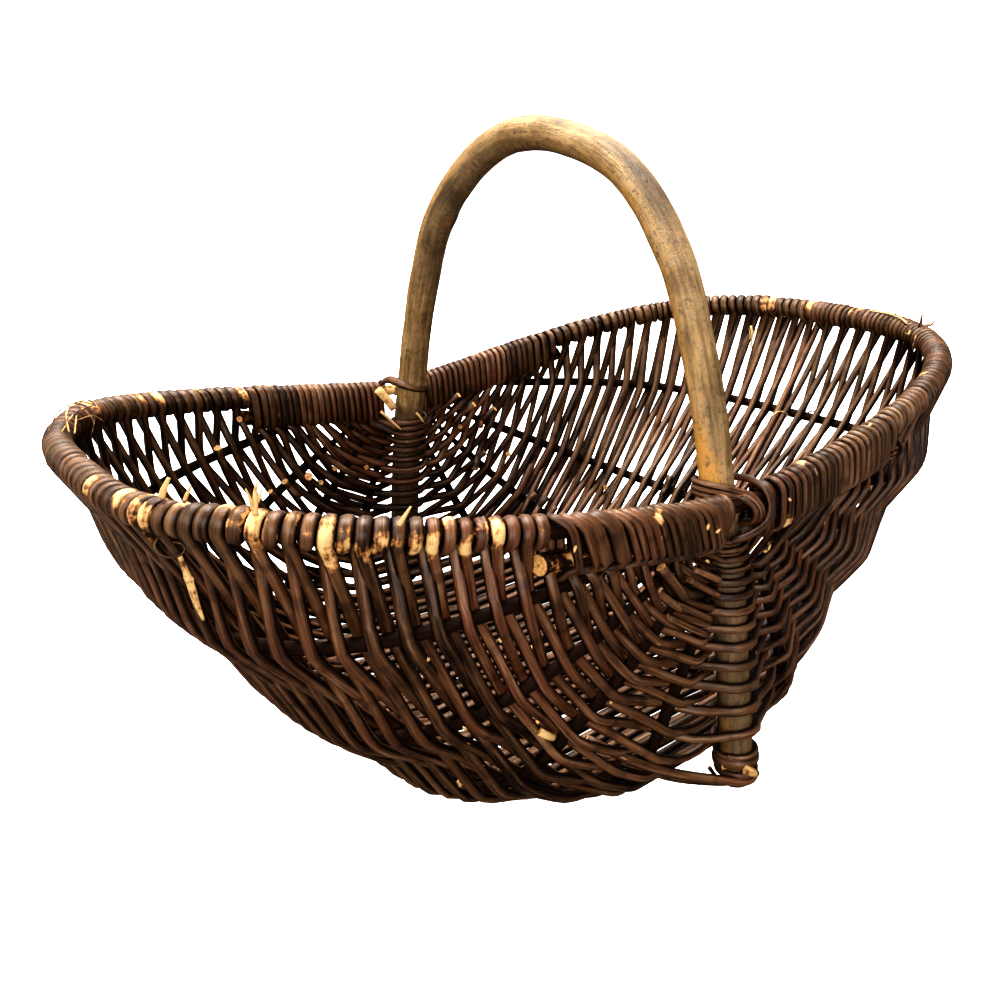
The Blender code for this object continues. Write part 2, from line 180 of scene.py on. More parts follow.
# Loose things on the basket: (width, depth, how bare of bark, how much of the width is left at its
# end, points), all in millimetres
LOOSE_ENDS = (
    # frayed splinters on the left rim
    (2.6, 1.2, 1, 0.3, ((-238, -126, 206), (-237.7, -127, 211), (-237.2, -127, 216), (-235.6, -127, 220.5))),
    (2.0, 1.0, 1, 0.3, ((-238, -126, 209), (-236, -127, 213), (-233.6, -127, 217))),
    (2.0, 1.0, 1, 0.3, ((-238.6, -126, 208), (-239.6, -127, 213), (-241, -127, 218.4))),
    (3.4, 1.6, 1, 0.5, ((-263.5, -87, 209), (-262.6, -89, 213), (-260.6, -92, 218.6))),
    (2.0, 1.2, 0.8, 0.4, ((-258, -99, 209), (-257.2, -102, 213), (-255.6, -104, 217))),
    (2.2, 1.2, 1, 0.4, ((-190, -160, 199), (-188.4, -162, 203), (-186.1, -164, 207.5))),
    # fibres over the left end of the rim
    (1.0, 0.8, 0.7, 0.6, ((-266, 52, 209), (-262, 70, 214), (-254, 88, 215), (-245, 101, 212),
                          (-238, 107, 208))),
    (0.9, 0.8, 0.5, 0.6, ((-270, 60, 205), (-258, 70, 213.6), (-247, 82, 213), (-240, 98, 210))),
    (1.0, 0.8, 0.7, 0.6, ((-262, 58, 206), (-256, 74, 211), (-252, 90, 205), (-240, 106, 202),
                          (-233, 112, 196))),
    (0.8, 0.8, 0.3, 0.6, ((-272, 72, 206), (-262, 84, 213.6), (-249, 92, 213.4), (-243, 90, 206),
                          (-246, 84, 200))),
    (0.9, 0.8, 0.7, 0.6, ((-250, 98, 212), (-245, 96, 207), (-242, 98, 200), (-244, 100, 192))),
    (1.2, 0.8, 0.9, 0.6, ((-255, 96, 212.6), (-247, 100, 213), (-240, 108, 211), (-236, 112, 206))),
    # a tendril and a torn strip below the left end
    (1.3, 1.1, 0, 0.5, ((-266, -88, 194), (-271, -92, 191), (-270.4, -94, 187.4), (-267, -95, 185),
                        (-263, -95, 184.4), (-259.6, -95, 186), (-260, -94, 189), (-263, -92, 190))),
    (2.0, 1.0, 0.8, 2.0, ((-261.5, -93, 184), (-259.8, -92, 177), (-258.4, -91.6, 170))),
    (3.8, 1.1, 0.9, 0.4, ((-258.6, -92, 172), (-257.6, -91.6, 165), (-256.4, -91, 158), (-254.6, -91, 150))),
    (1.6, 1.0, 0.9, 0.5, ((-259.6, -89, 172), (-256, -88.8, 166), (-254.6, -88.4, 158))),
    # torn bark at the right end of the rim
    (2.4, 1.4, 0.5, 0.4, ((255.2, -94, 207), (255.6, -96, 213), (254.2, -97, 217), (256, -97, 220))),
    (2.2, 1.2, 0.6, 0.3, ((260, -92, 207), (264, -95, 210), (266.6, -97, 210.4), (270, -97, 213.4))),
    (2.0, 1.2, 0.8, 0.3, ((250, -92, 205), (246, -95, 208.6), (241, -97, 207.6), (237.6, -97, 209))),
    (1.8, 1.2, 0.5, 0.3, ((252, -96, 206), (247, -99, 205), (243, -100, 199), (246, -99, 194))),
    (1.6, 1.0, 0.9, 0.5, ((262, -86, 209), (266, -76, 211), (270.6, -62, 211), (274, -46, 210))),
    (1.4, 1.0, 1, 0.5, ((258, -84, 210.6), (263, -74, 213), (267.6, -60, 213.6), (271, -42, 213))),
    # straws at the back of the right end
    (2.4, 0.9, 1, 0.3, ((262, 60, 190), (261.6, 58, 184), (261.4, 58, 178), (260.6, 57, 171))),
    (2.0, 0.9, 1, 0.3, ((260.6, 60, 180), (263, 58, 184), (266, 57, 189))),
    (1.8, 0.9, 1, 0.3, ((260.4, 60, 176), (259.4, 58, 183), (257.4, 58, 188.6))),
    # fibres on the upper rib behind
    (1.2, 0.9, 0.9, 0.4, ((212, -8, 138), (220, -8, 140.4), (229, -8, 137), (236, -8, 131))),
    (1.3, 0.9, 1, 0.4, ((262, -8, 133), (253, -9, 134), (245, -9, 129.6), (236, -9, 124.6))),
    (1.2, 0.9, 1, 0.4, ((247, -8, 133.6), (240, -9, 131), (234, -9, 128), (228, -8, 124))),
    (1.1, 0.9, 0.7, 0.4, ((224, -8, 140), (230, -9, 133), (233, -9, 129), (240, -8, 121))),
    # thick rods lying low along the wall to the near foot
    (5.4, 4.8, 0, 0.9, ((-84, -150, 50), (-68, -164, 38.6), (-47, -174, 26.6), (-23, -184, 17.4),
                        (-6, -190.4, 12.4), (4, -188, 12.8))),
    (4.8, 4.4, 0, 0.8, ((-76, -146, 36), (-58, -160, 27), (-38, -170, 17), (-16, -178, 9.4),
                        (-6, -180, 6.4))),
    # cut butts of weavers left of the near leg
    (4.4, 4.0, 0, 1, ((-33, -173, 139), (-26, -176.6, 135), (-19.4, -178.4, 130.8))),
    (4.4, 4.0, 0, 1, ((-36, -173, 134.6), (-28, -176.8, 128.4), (-20.1, -178.6, 122.6))),
    (4.2, 3.8, 0, 1, ((-45, -173.4, 123.6), (-35, -177, 117.4), (-25.6, -178.8, 111))),
    (6.0, 5.4, 0, 1, ((-59, -177.4, 149), (-51.6, -179.4, 138), (-45.2, -180, 129.6))),
    (4.4, 4.0, 0, 1, ((-51, -173.6, 118.6), (-40, -177.4, 111), (-27.6, -179, 103))),
    # stub and straws at the far crossing
    (6.4, 4.6, 0.75, 1, ((-25.4, 158.6, 170.4), (-19.6, 156.6, 162.6), (-14.6, 155, 154.6))),
    (2.2, 1.2, 1, 0.5, ((-23.6, 159.6, 153.4), (-17.6, 156, 146), (-11.8, 151.4, 138.6))),
    (2.0, 1.2, 1, 0.5, ((-1.6, 145.4, 151), (1.2, 144.4, 147), (3.6, 143.8, 142.6))),
    # raw places on a lower weaver and on the near foot binding, and a splinter beside it
    (4.6, 2.2, 1, 0.7, ((-120.6, -158.6, 73), (-116.4, -159.4, 69.4), (-110.6, -157.6, 64.6))),
    (5.4, 2.0, 0.8, 0.6, ((-9.4, -191.2, 21.6), (-4.8, -192.6, 18.8), (-0.6, -192.6, 15))),
    (2.4, 1.4, 0, 0.3, ((-15, -171, 15), (-12, -172, 10), (-8, -173, 4.6))),
)
# Cut butts inside the basket as (x, y, z, thickness), and chips on its front as points, in millimetres
INNER_ENDS = (
    (-86, 163.1, 114.4, 6.6), (-74.8, 166.4, 107.2, 4.2), (90.3, 160, 95.9, 4.4), (50.3, 167.7, 124.2, 4),
    (145, 104.2, 69.2, 4.2), (-60.1, 169.9, 113.1, 4), (-33.9, 168.8, 110.8, 4), (-132.8, 161.2, 167.4, 4.6),
)
CHIPS = (
    (-28.6, -178.3, 162.2), (-22.1, -178.9, 158.6), (-20.5, -171, 139.3), (19.3, -174, 135),
    (17.5, -178, 139), (-130.6, -145.7, 64), (-140.7, -136.6, 50.2), (-126.4, -143.6, 40.8),
    (-177.5, -153.2, 129.5), (31.9, -177.9, 161.7), (-109.7, -175.1, 171.5), (-52.8, -170.5, 132.8),
    (-144.7, -163.5, 132.7), (106.5, -169.3, 185.9), (-82.3, -168, 80), (-156.9, -148.6, 84.1),
)
# The way out of the basket's front left side and a little up. Loose ends lie flat to it, the butts
# inside point along it, and the handle has a dark strip of painted shade on that side.
FRONT_LEFT = (-0.35, -0.88, 0.32)

# Lengths of a weaver in metres, and in millimetres how far its butt and its tip stick out
WEAVER_LENGTHS = (0.9, 1.5)
BUTT_LENGTHS = (8, 16)
TIP_LENGTHS = (6, 12)
# The lowest weavers sag between the bottom ribs, and long straight runs bend softly
SAG_HEIGHT = 65 * MM
SAG = 4.5 * MM
SOFT_BEND = 9 * MM

# The rim's left tip hangs lower than its right one
TIP_DROP = 5 * MM
# A rib's thickness against that of its rod in the CAD assembly
RIB_SHARE = 0.84
# Steps along a rod, and faces round one
RIB_STEPS = 90
RIM_STEPS = 240
FILLER_STEPS = 24
ROD_SIDES = 12
THIN_SIDES = 8
# The wall bellies out low down beside the near leg: where along X, how far to each side, below what
# height and past what place in Y, how far and which way
BELLY_X = -85 * MM
BELLY_REACH = 78 * MM
BELLY_TOP = 75 * MM
BELLY_FADE = 50 * MM
BELLY_Y = -40 * MM
BELLY = 10 * MM
BELLY_WAY = (0, -0.5, -0.87)

# How far a turn beside the near crossing leans along the rim at its bend, by side in X, and the degrees
# round the rim where it starts to lean, bends and is back
TURN_LEAN = {-1: -17 * MM, 1: 6 * MM}
LEAN_TOP, LEAN_BEND, LEAN_UNDER = 80, -32, -110
# Along the rim the lean starts at the first of these, grows to full over the second, and fades over the
# fourth up to the third past the filler rod's end
LEAN_START, LEAN_GROWTH, LEAN_PAST, LEAN_FADE = 10 * MM, 24 * MM, 3 * MM, 9 * MM
# Degrees round the rim: where a turn starts inside, how far one turn goes round the rim alone, how much
# further where it goes round a filler rod too, and the steps it is made in
TURN_START = 230
TURN_ROUND = 260
TURN_FILLED = 30
TURN_STEP = 19
# The room that a turn takes along the rim against its weaver's thickness, also where it goes round a
# filler rod too, and how much of that room it fills. Right of the near crossing the first turns run
# back along the rim, so their room is less than nothing and they are thin.
TURN_ROOM, FILLED_TURN_ROOM = 1.1, 1.22
TURN_COVER = 0.94
BACK_TURN_COVER = 1.25
# Share of the way to the line where the halves meet that the lowest passes keep to
LEG_SHARE = 0.95
# Spacing of passes down the leg: of the leading ones, of the first, and how much it grows with each
LEAD_PITCH = 2.8 * MM
LEG_PITCH = 1.9 * MM
LEG_PITCH_GROWTH = 0.11 * MM


def smooth_share(value):
    """0 to 1 with soft ends."""
    value = min(max(value, 0.0), 1.0)
    return value * value * (3 - 2 * value)


class RodPath:
    """A line of points that can be asked for a place at a distance from its start."""

    def __init__(self, points):
        self.points = [Vector(point) for point in points]
        self.marks = [0.0]
        for start, end in zip(self.points, self.points[1:]):
            self.marks.append(self.marks[-1] + (end - start).length)
        self.length = self.marks[-1]

    def at(self, distance):
        if distance <= 0:
            return self.points[0] + (self.points[1] - self.points[0]).normalized() * distance
        low, high = 0, len(self.marks) - 1
        while high - low > 1:
            middle = (low + high) // 2
            if self.marks[middle] <= distance:
                low = middle
            else:
                high = middle
        span = self.marks[high] - self.marks[low]
        return self.points[low].lerp(self.points[high], (distance - self.marks[low]) / span)

    def direction(self, distance):
        return (self.at(distance + 1 * MM) - self.at(distance - 1 * MM)).normalized()


def catmull_rom(p0, p1, p2, p3, t):
    """A point on the smooth curve between p1 and p2."""
    return 0.5 * (
        2 * p1
        + (p2 - p0) * t
        + (2 * p0 - 5 * p1 + 4 * p2 - p3) * t * t
        + (3 * p1 - p0 - 3 * p2 + p3) * t * t * t
    )


def smooth_points(knots, steps):
    """The knots joined by one smooth curve, with so many steps between neighbours."""
    padded = [2 * knots[0] - knots[1], *knots, 2 * knots[-1] - knots[-2]]
    points = []
    for i in range(1, len(knots)):
        for step in range(steps):
            points.append(catmull_rom(*padded[i - 1:i + 3], step / steps))
    return points + [knots[-1]]


def rim_point(shape, angle):
    """The rim rod's axis at a plan angle: 0 is +X, pi / 2 is +Y."""
    across, along = math.cos(angle), math.sin(angle)
    size = abs(across / shape.rim_half_length) ** RIM_SQUARENESS
    size += abs(along / shape.rim_half_width) ** RIM_SQUARENESS
    radius = size ** (-1 / RIM_SQUARENESS)
    share = radius * across / shape.rim_half_length
    rise = math.hypot(share, RIM_DIP_SOFTNESS) - RIM_DIP_SOFTNESS
    rise /= math.hypot(1, RIM_DIP_SOFTNESS) - RIM_DIP_SOFTNESS
    height = shape.rim_dip_height + shape.rim_end_rise * rise
    height -= TIP_DROP * smooth_share((-share - 0.86) / 0.14)
    return Vector((radius * across, radius * along, height))


def rim_path(shape, side_x, side_y):
    """Half of the rim, from the crossing at side_y round one end to the other crossing."""
    turn = -side_x * side_y * math.pi
    start = side_y * math.pi / 2
    return RodPath([rim_point(shape, start + turn * i / PATH_STEPS) for i in range(PATH_STEPS + 1)])


def rib_path(shape, spec, side_y):
    """A rib's axis, a bent rod in its fan plane, from the crossing at side_y to the other."""
    slope = math.radians(spec.fan)
    power = spec.squareness
    points = []
    for i in range(PATH_STEPS + 1):
        angle = math.pi * (i / PATH_STEPS - 0.5)
        outward, across = abs(math.cos(angle)), math.sin(angle)
        size = (outward / spec.reach) ** power + abs(across / shape.rim_half_width) ** power
        radius = size ** (-1 / power)
        depth = radius * outward
        points.append((
            spec.side_x * depth * math.cos(slope),
            -side_y * radius * across,
            shape.rim_dip_height - depth * math.sin(slope),
        ))
    return RodPath(points)


def rib_outward(shape, spec, path, distance):
    """Square to a rib, away from the middle of the basket."""
    slope = math.radians(spec.fan)
    fan_normal = Vector((spec.side_x * math.sin(slope), 0, math.cos(slope)))
    outward = path.direction(distance).cross(fan_normal).normalized()
    if outward.dot(path.at(distance) - Vector((0, 0, shape.rim_dip_height))) < 0:
        outward.negate()
    return outward


def rib_radius(shape, spec, length, distance):
    """A rib is pared down towards both of its tips."""
    from_tip = min(distance, length - distance) - spec.tip_start
    share = min(max(from_tip / shape.rib_taper, 0.0), 1.0)
    return shape.rib_tip_radius + (shape.rib_radius - shape.rib_tip_radius) * share


def bellied(place):
    """Moves a point of the wall out and down where it bellies beside the near leg."""
    along = max(0.0, 1 - ((place.x - BELLY_X) / BELLY_REACH) ** 2)
    low = smooth_share((BELLY_TOP - place.z) / BELLY_FADE)
    near = smooth_share((BELLY_Y - place.y) / -BELLY_Y)
    return place + Vector(BELLY_WAY) * BELLY * along * low * near


def handle_points(steps):
    """The handle's axis from the near foot to the far one."""
    knots = []
    for across, height in HANDLE_BOW:
        height *= MM
        knots.append(Vector((HANDLE_BASE_X + HANDLE_LEAN * height, across * MM, height)))
    return smooth_points(knots, steps)


def handle_radius(shape, place):
    """The rod is thicker at its far, butt end."""
    far_share = min(max(0.5 + 0.5 * place.y / shape.rim_half_width, 0.0), 1.0)
    return shape.handle_near_radius + (shape.handle_far_radius - shape.handle_near_radius) * far_share


def leg_point(leg, height):
    """The handle leg's axis at a height, from its points listed downwards."""
    for upper, lower in zip(leg, leg[1:]):
        if lower.z <= height <= upper.z:
            return upper.lerp(lower, (upper.z - height) / (upper.z - lower.z))
    return leg[0].copy() if height > leg[0].z else leg[-1].copy()


def leg_points(shape, side_y):
    """The handle's axis below the rim on one side, listed downwards."""
    points = [p for p in handle_points(6) if p.y * side_y > 0 and p.z <= shape.rim_dip_height + 30 * MM]
    return sorted(points, key=lambda place: -place.z)


class Knot:
    """One point of a rod's route, with the way its flat side faces and its size there."""

    def __init__(self, place, normal, width, depth, bend=0.0, inside=False, peel=0.0):
        self.place = Vector(place)
        self.normal = Vector(normal)
        self.width = width
        self.depth = depth
        self.bend = bend
        self.inside = inside
        self.peel = peel

    def moved(self, place):
        return Knot(place, self.normal, self.width, self.depth, 0.0, self.inside, self.peel)


def round_corners(knots):
    """Each knot that has a bend becomes one of that length."""
    result = [knots[0]]
    for before, knot, after in zip(knots, knots[1:], knots[2:]):
        if not knot.bend:
            result.append(knot)
            continue
        back = before.place - knot.place
        ahead = after.place - knot.place
        start = knot.place + back.normalized() * min(knot.bend, 0.42 * back.length)
        end = knot.place + ahead.normalized() * min(knot.bend, 0.42 * ahead.length)
        middle = knot.place * 0.5 + start * 0.25 + end * 0.25
        result += [knot.moved(start), knot.moved(middle), knot.moved(end)]
    return result + [knots[-1]]


def smooth_knots(knots, steps):
    """The knots joined by one smooth curve."""
    places = smooth_points([knot.place for knot in knots], steps)
    result = []
    for i, place in enumerate(places):
        lower = min(i // steps, len(knots) - 2)
        share = i / steps - lower
        before, after = knots[lower], knots[lower + 1]
        knot = before.moved(place)
        knot.normal = before.normal.lerp(after.normal, share)
        knot.width += (after.width - before.width) * share
        knot.depth += (after.depth - before.depth) * share
        knot.peel += (after.peel - before.peel) * share
        result.append(knot)
    return result


def ring_matrix(knot, tangent, normal):
    """Places a unit circle as the rod's section at a knot."""
    side = tangent.cross(normal)
    matrix = Matrix((side * knot.width / 2, normal * knot.depth / 2, tangent)).transposed().to_4x4()
    matrix.translation = knot.place
    return matrix


def ring_step(bm, ring_edges, slots):
    """Extrudes the open ring by one step and returns the new ring, keeping each corner's slot."""
    made = bmesh.ops.extrude_edge_only(bm, edges=ring_edges)["geom"]
    corners = {item for item in made if isinstance(item, bmesh.types.BMVert)}
    new_edges = []
    for item in made:
        if not isinstance(item, bmesh.types.BMFace):
            continue
        for edge in item.edges:
            first, second = edge.verts
            if first in corners and second in corners:
                new_edges.append(edge)
            elif first in corners and first not in slots:
                slots[first] = slots[second]
            elif second in corners and second not in slots:
                slots[second] = slots[first]
    return new_edges, list(corners)


def write_rod_uv(bm, slots, runs, sides):
    """U goes once round the rod and V counts along it, 1 for each decimetre; an end is one round picture."""
    layer = bm.loops.layers.uv.new("bark")
    for face in bm.faces:
        if len(face.verts) != 4:
            face.material_index = 1
            for loop in face.loops:
                angle = 2 * math.pi * slots[loop.vert] / sides
                loop[layer].uv = (0.5 + 0.5 * math.cos(angle), 0.5 + 0.5 * math.sin(angle))
            continue
        places = [slots[loop.vert] for loop in face.loops]
        wraps = max(places) - min(places) > 1
        for loop, place in zip(face.loops, places):
            place += sides if wraps and place == 0 else 0
            loop[layer].uv = (place / sides, runs[loop.vert] / 0.1)


def rod_mesh(knots, sides, marks=()):
    """A rod through the knots, closed at both ends, and the run along it at each corner."""
    bm = bmesh.new()
    for mark in marks:
        bm.verts.layers.float.new(mark)
    tone_layer = bm.verts.layers.float.new("tone")
    peel_layer = bm.verts.layers.float.new("peel")
    ring = list(bmesh.ops.create_circle(bm, segments=sides, radius=1.0)["verts"])
    slots = {vert: i for i, vert in enumerate(ring)}
    runs = {}
    ring_edges = list(bm.edges)
    matrix = Matrix.Identity(4)
    previous_normal = knots[0].normal
    run = 0.0
    for i, knot in enumerate(knots):
        before = knots[max(i - 1, 0)].place
        after = knots[min(i + 1, len(knots) - 1)].place
        tangent = (after - before).normalized()
        normal = knot.normal - tangent * knot.normal.dot(tangent)
        if normal.length < 0.05:
            normal = previous_normal - tangent * previous_normal.dot(tangent)
        normal.normalize()
        if normal.dot(previous_normal) < 0:
            normal.negate()
        previous_normal = normal
        if i:
            run += (knot.place - knots[i - 1].place).length
            ring_edges, ring = ring_step(bm, ring_edges, slots)
        next_matrix = ring_matrix(knot, tangent, normal)
        bmesh.ops.transform(bm, matrix=next_matrix @ matrix.inverted(), verts=ring)
        matrix = next_matrix
        for vert in ring:
            runs[vert] = run
            vert[tone_layer] = 0.5
            vert[peel_layer] = knot.peel
    boundary = [edge for edge in bm.edges if edge.is_boundary]
    bmesh.ops.holes_fill(bm, edges=boundary, sides=sides)
    write_rod_uv(bm, slots, runs, sides)
    bmesh.ops.recalc_face_normals(bm, faces=bm.faces)
    return bm, slots, runs


def add_rod(target, knots, sides, tone):
    """Puts one more rod into the target bmesh."""
    bm, _, _ = rod_mesh(knots, sides)
    tone_layer = bm.verts.layers.float["tone"]
    for vert in bm.verts:
        vert[tone_layer] = tone
    data = bpy.data.meshes.new("rod")
    bm.to_mesh(data)
    bm.free()
    target.from_mesh(data)
    bpy.data.meshes.remove(data)


def finish_piece(name, bm, bark, replaced=(), ends="cut_wood"):
    """The bmesh becomes a smooth-shaded piece with a finish on its sides and one on its ends."""
    for face in bm.faces:
        face.smooth = face.material_index == 0
    data = bpy.data.meshes.new(name)
    bm.to_mesh(data)
    bm.free()
    for finish_name in (bark, ends):
        data.materials.append(finish(finish_name))
    piece = bpy.data.objects.new(name, data)
    bpy.context.scene.collection.objects.link(piece)
    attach(piece, "root")
    if replaced:
        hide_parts(*replaced)


class WeaveHalf:
    """The paths, ribs and spacing that one half of the weave is worked on."""

    def __init__(self, shape, weave, side_y, seed):
        self.shape = shape
        self.weave = weave
        self.side_y = side_y
        self.lead = weave.front_lead if side_y < 0 else 0
        self.passes = weave.passes + self.lead
        self.random = random.Random(seed)
        self.rims = {side_x: rim_path(shape, side_x, side_y) for side_x in (-1, 1)}
        self.ribs = {name: rib_path(shape, spec, side_y) for name, spec in RIBS.items()}
        self.leg = leg_points(shape, side_y)
        self.leg_length = self.ribs["rib_left_bottom"].length / 2 * LEG_SHARE

    def rim_distance(self, index):
        """How far a pass is along the rim: close together near the crossing, wider past the fillers."""
        index -= self.lead
        near = self.weave.near_passes
        start, pitch = self.weave.first_rim_distance, self.weave.near_rim_pitch
        if index <= near:
            return start + pitch * index
        half = self.rims[-1].length / 2 - self.weave.middle_clearance
        first = start + pitch * near
        return first + (half - first) * (index - near) / (self.weave.passes - 1 - near)

    def leg_depth(self, index):
        """How far a pass is down the leg and along the belly."""
        index -= self.lead
        start, bend = self.weave.first_leg_depth, self.weave.leg_passes
        if index < 0:
            return start + LEAD_PITCH * index
        depth = start + LEG_PITCH * index + LEG_PITCH_GROWTH * index * index
        if index > bend:
            half = self.leg_length - self.weave.middle_clearance
            at_bend = start + LEG_PITCH * bend + LEG_PITCH_GROWTH * bend * bend
            depth = at_bend + (half - at_bend) * (index - bend) / (self.weave.passes - 1 - bend)
        return depth

    def width(self, index, place):
        """Weavers are thinner near the crossing, and at the front thinner on the right."""
        zone = self.weave.near_width_share
        zone += (1 - zone) * smooth_share((index - self.lead) / self.weave.near_passes)
        across = smooth_share(0.5 + place.x / (2 * self.shape.rim_half_length))
        if self.side_y < 0:
            width = self.weave.left_width + (self.weave.right_width - self.weave.left_width) * across
        else:
            width = self.weave.back_width
        return width * zone

    def rib_knot(self, index, name, rim_like, bend, outside):
        spec, path = RIBS[name], self.ribs[name]
        share = self.rim_distance(index) / (self.rims[-1].length / 2) * rim_like
        share += self.leg_depth(index) / self.leg_length * (1 - rim_like)
        distance = share * path.length / 2
        if distance < spec.tip_start + 3 * MM:
            return []
        distance += self.random.uniform(-0.7, 0.7) * MM
        axis = path.at(distance)
        outward = rib_outward(self.shape, spec, path, distance)
        width = self.width(index, axis)
        depth = width * self.weave.wall_depth_share
        offset = rib_radius(self.shape, spec, path.length, distance) + depth / 2 + 0.1 * MM
        place = axis + outward * (offset if outside else -offset)
        return [Knot(place, outward, width, depth, bend=self.weave.corner_cut * bend, inside=not outside)]

    def leg_knots(self, index, outside):
        height = self.shape.rim_dip_height - self.leg_depth(index)
        if height < self.weave.last_leg_height:
            return []
        leg = leg_point(self.leg, height)
        width = self.width(index, leg)
        depth = width * self.weave.wall_depth_share
        radius = handle_radius(self.shape, leg) + depth / 2 + 0.2 * MM
        knots = []
        for degrees in (-55, -28, 0, 28, 55):
            angle = math.radians(degrees)
            facing = Vector((math.sin(angle), self.side_y * math.cos(angle), 0))
            if not outside:
                facing.y = -facing.y
            knots.append(Knot(leg + facing * radius, facing, width, depth, inside=not outside))
        return knots

    def pass_knots(self, index):
        """One pass between the rims, listed from left to right."""
        knots = []
        for number, (name, rim_like, bend) in enumerate(STATIONS, start=1):
            outside = (index + number) % 2 == 0
            if name == "leg":
                knots += self.leg_knots(index, outside)
            else:
                knots += self.rib_knot(index, name, rim_like, bend, outside)
        return knots

    def past_handle(self, side_x, distance):
        """At the near crossing the handle lies right of the first turns."""
        if side_x < 0 or self.side_y > 0:
            return distance
        start = self.weave.right_start
        first = self.weave.first_rim_distance
        return max(distance, start + distance * (first - start) / first)

    def lean(self, side_x, distance, angle):
        """Turns round a near filler rod lie at a slant, so they shift along the rim on its outer face."""
        if self.side_y > 0:
            return 0.0
        reach = FILLERS[(side_x, self.side_y)] + LEAN_PAST
        most = min(1.0, max(0.0, (distance - LEAN_START) / LEAN_GROWTH))
        degrees = (math.degrees(angle) + 180) % 360 - 180
        above = (LEAN_TOP - degrees) / (LEAN_TOP - LEAN_BEND)
        below = (degrees - LEAN_UNDER) / (LEAN_BEND - LEAN_UNDER)
        outer = max(0.0, min(above, below))
        return TURN_LEAN[side_x] * most * outer * smooth_share((reach - distance) / LEAN_FADE)

    def turn_knots(self, side_x, first, last, pitch, end_degrees):
        """Turns round the rim between two distances along it."""
        path = self.rims[side_x]
        flat = self.weave.rim_depth
        width = pitch * (TURN_COVER if pitch > 0 else BACK_TURN_COVER)
        steps = max(2, round(abs(end_degrees - TURN_START) / TURN_STEP))
        lift = self.random.uniform(-0.35, 0.35) * MM
        knots = []
        for step in range(steps + 1):
            share = step / steps
            angle = math.radians(TURN_START + (end_degrees - TURN_START) * share)
            distance = first + (last - first) * share
            distance += self.lean(side_x, distance, angle)
            along = path.direction(distance)
            outward = along.cross(UP) * side_x * -self.side_y
            outward.z = 0
            outward.normalize()
            radial = outward * math.cos(angle) + UP * math.sin(angle)
            radius = self.shape.rim_rod_radius + flat / 2 + 0.1 * MM + lift
            place = path.at(distance) + radial * radius
            place.z -= self.filler_drop(side_x, distance) * smooth_share(0.5 - math.sin(angle))
            peel = peel_at(side_x, self.side_y, distance, angle)
            knots.append(Knot(place, radial, width, flat, peel=peel))
        return knots

    def wrap_knots(self, index, side_x):
        """The turns round the rim that join a pass to the next, listed from inside to outside."""
        distances = [self.past_handle(side_x, self.rim_distance(i)) for i in range(index - 1, index + 3)]
        before, first, last, after = distances
        room = (last + after - first - before) / 2
        middle = (first + last) / 2
        width = self.width(index, self.rims[side_x].at(middle)) * self.random.uniform(0.93, 1.1)
        filled = self.side_y < 0 and self.filler_drop(side_x, middle) > 0
        wanted = width * (FILLED_TURN_ROOM if filled else TURN_ROOM)
        turns = max(1 if filled else 2, round(room / wanted))
        pitch = room / turns
        under = TURN_FILLED if self.filler_drop(side_x, middle) > 0 else 0
        whole = TURN_ROUND + under + 360 * (turns - 1)
        reach = whole / 720 * pitch * -side_x
        return self.turn_knots(side_x, middle - reach, middle + reach, pitch, TURN_START - whole)

    def filler_drop(self, side_x, distance):
        """How much lower the rod passes where it also goes round a filler rod."""
        reach = FILLERS[(side_x, self.side_y)]
        start = smooth_share((distance - FILLER_START + 14 * MM) / (8 * MM))
        return FILLER_DROP * start * smooth_share((reach + 1 * MM - distance) / (5 * MM))

    def route(self):
        """All the knots of the half in the order that they are woven."""
        knots = []
        for index in range(self.passes):
            row = self.pass_knots(index)
            knots += row if index % 2 == 0 else row[::-1]
            if index == self.passes - 1:
                end = self.rim_distance(index)
                knots += self.turn_knots(1, end + 3.2 * MM, end - 2.4 * MM, 5.6 * MM, -390)[::-1]
                break
            if index % 2 == 0:
                knots += self.wrap_knots(index, 1)[::-1]
            else:
                knots += self.wrap_knots(index, -1)
        return knots


def peel_at(side_x, side_y, distance, angle):
    """How much of the bark is rubbed off a turn of the rim at a place."""
    peel = 0.0
    for spot_x, spot_y, middle, degrees, size in PEELED_TURNS:
        if (spot_x, spot_y) != (side_x, side_y):
            continue
        away = abs(math.remainder(angle - math.radians(degrees), 2 * math.pi)) * 6.5 * MM
        reach = math.hypot((distance - middle * MM), away * 0.8)
        peel = max(peel, 1.0 - reach / (size * MM))
    return peel


def cut_into_weavers(half, knots):
    """Splits the route into rods of real length, each joined to the next behind a rib."""
    weavers = []
    current = [knots[0]]
    length = 0.0
    limit = half.random.uniform(*WEAVER_LENGTHS)
    for before, knot in zip(knots, knots[1:]):
        length += (knot.place - before.place).length
        current.append(knot)
        if length > limit and knot.inside and knot.bend:
            weavers.append(current)
            current = [knot]
            length = 0.0
            limit = half.random.uniform(*WEAVER_LENGTHS)
    weavers.append(current)
    return [weaver for weaver in weavers if len(weaver) > 2]


def with_free_ends(half, knots):
    """Lets the butt end and the tip stick out a little past the ribs that hold them."""
    start_way = (knots[0].place - knots[1].place).normalized()
    end_way = (knots[-1].place - knots[-2].place).normalized()
    butt = knots[0].moved(knots[0].place + start_way * half.random.uniform(*BUTT_LENGTHS) * MM)
    tip = knots[-1].moved(knots[-1].place + end_way * half.random.uniform(*TIP_LENGTHS) * MM)
    if knots[0].inside:
        butt.place -= knots[0].normal * half.random.uniform(1, 4) * MM
    return [butt, *knots, tip]


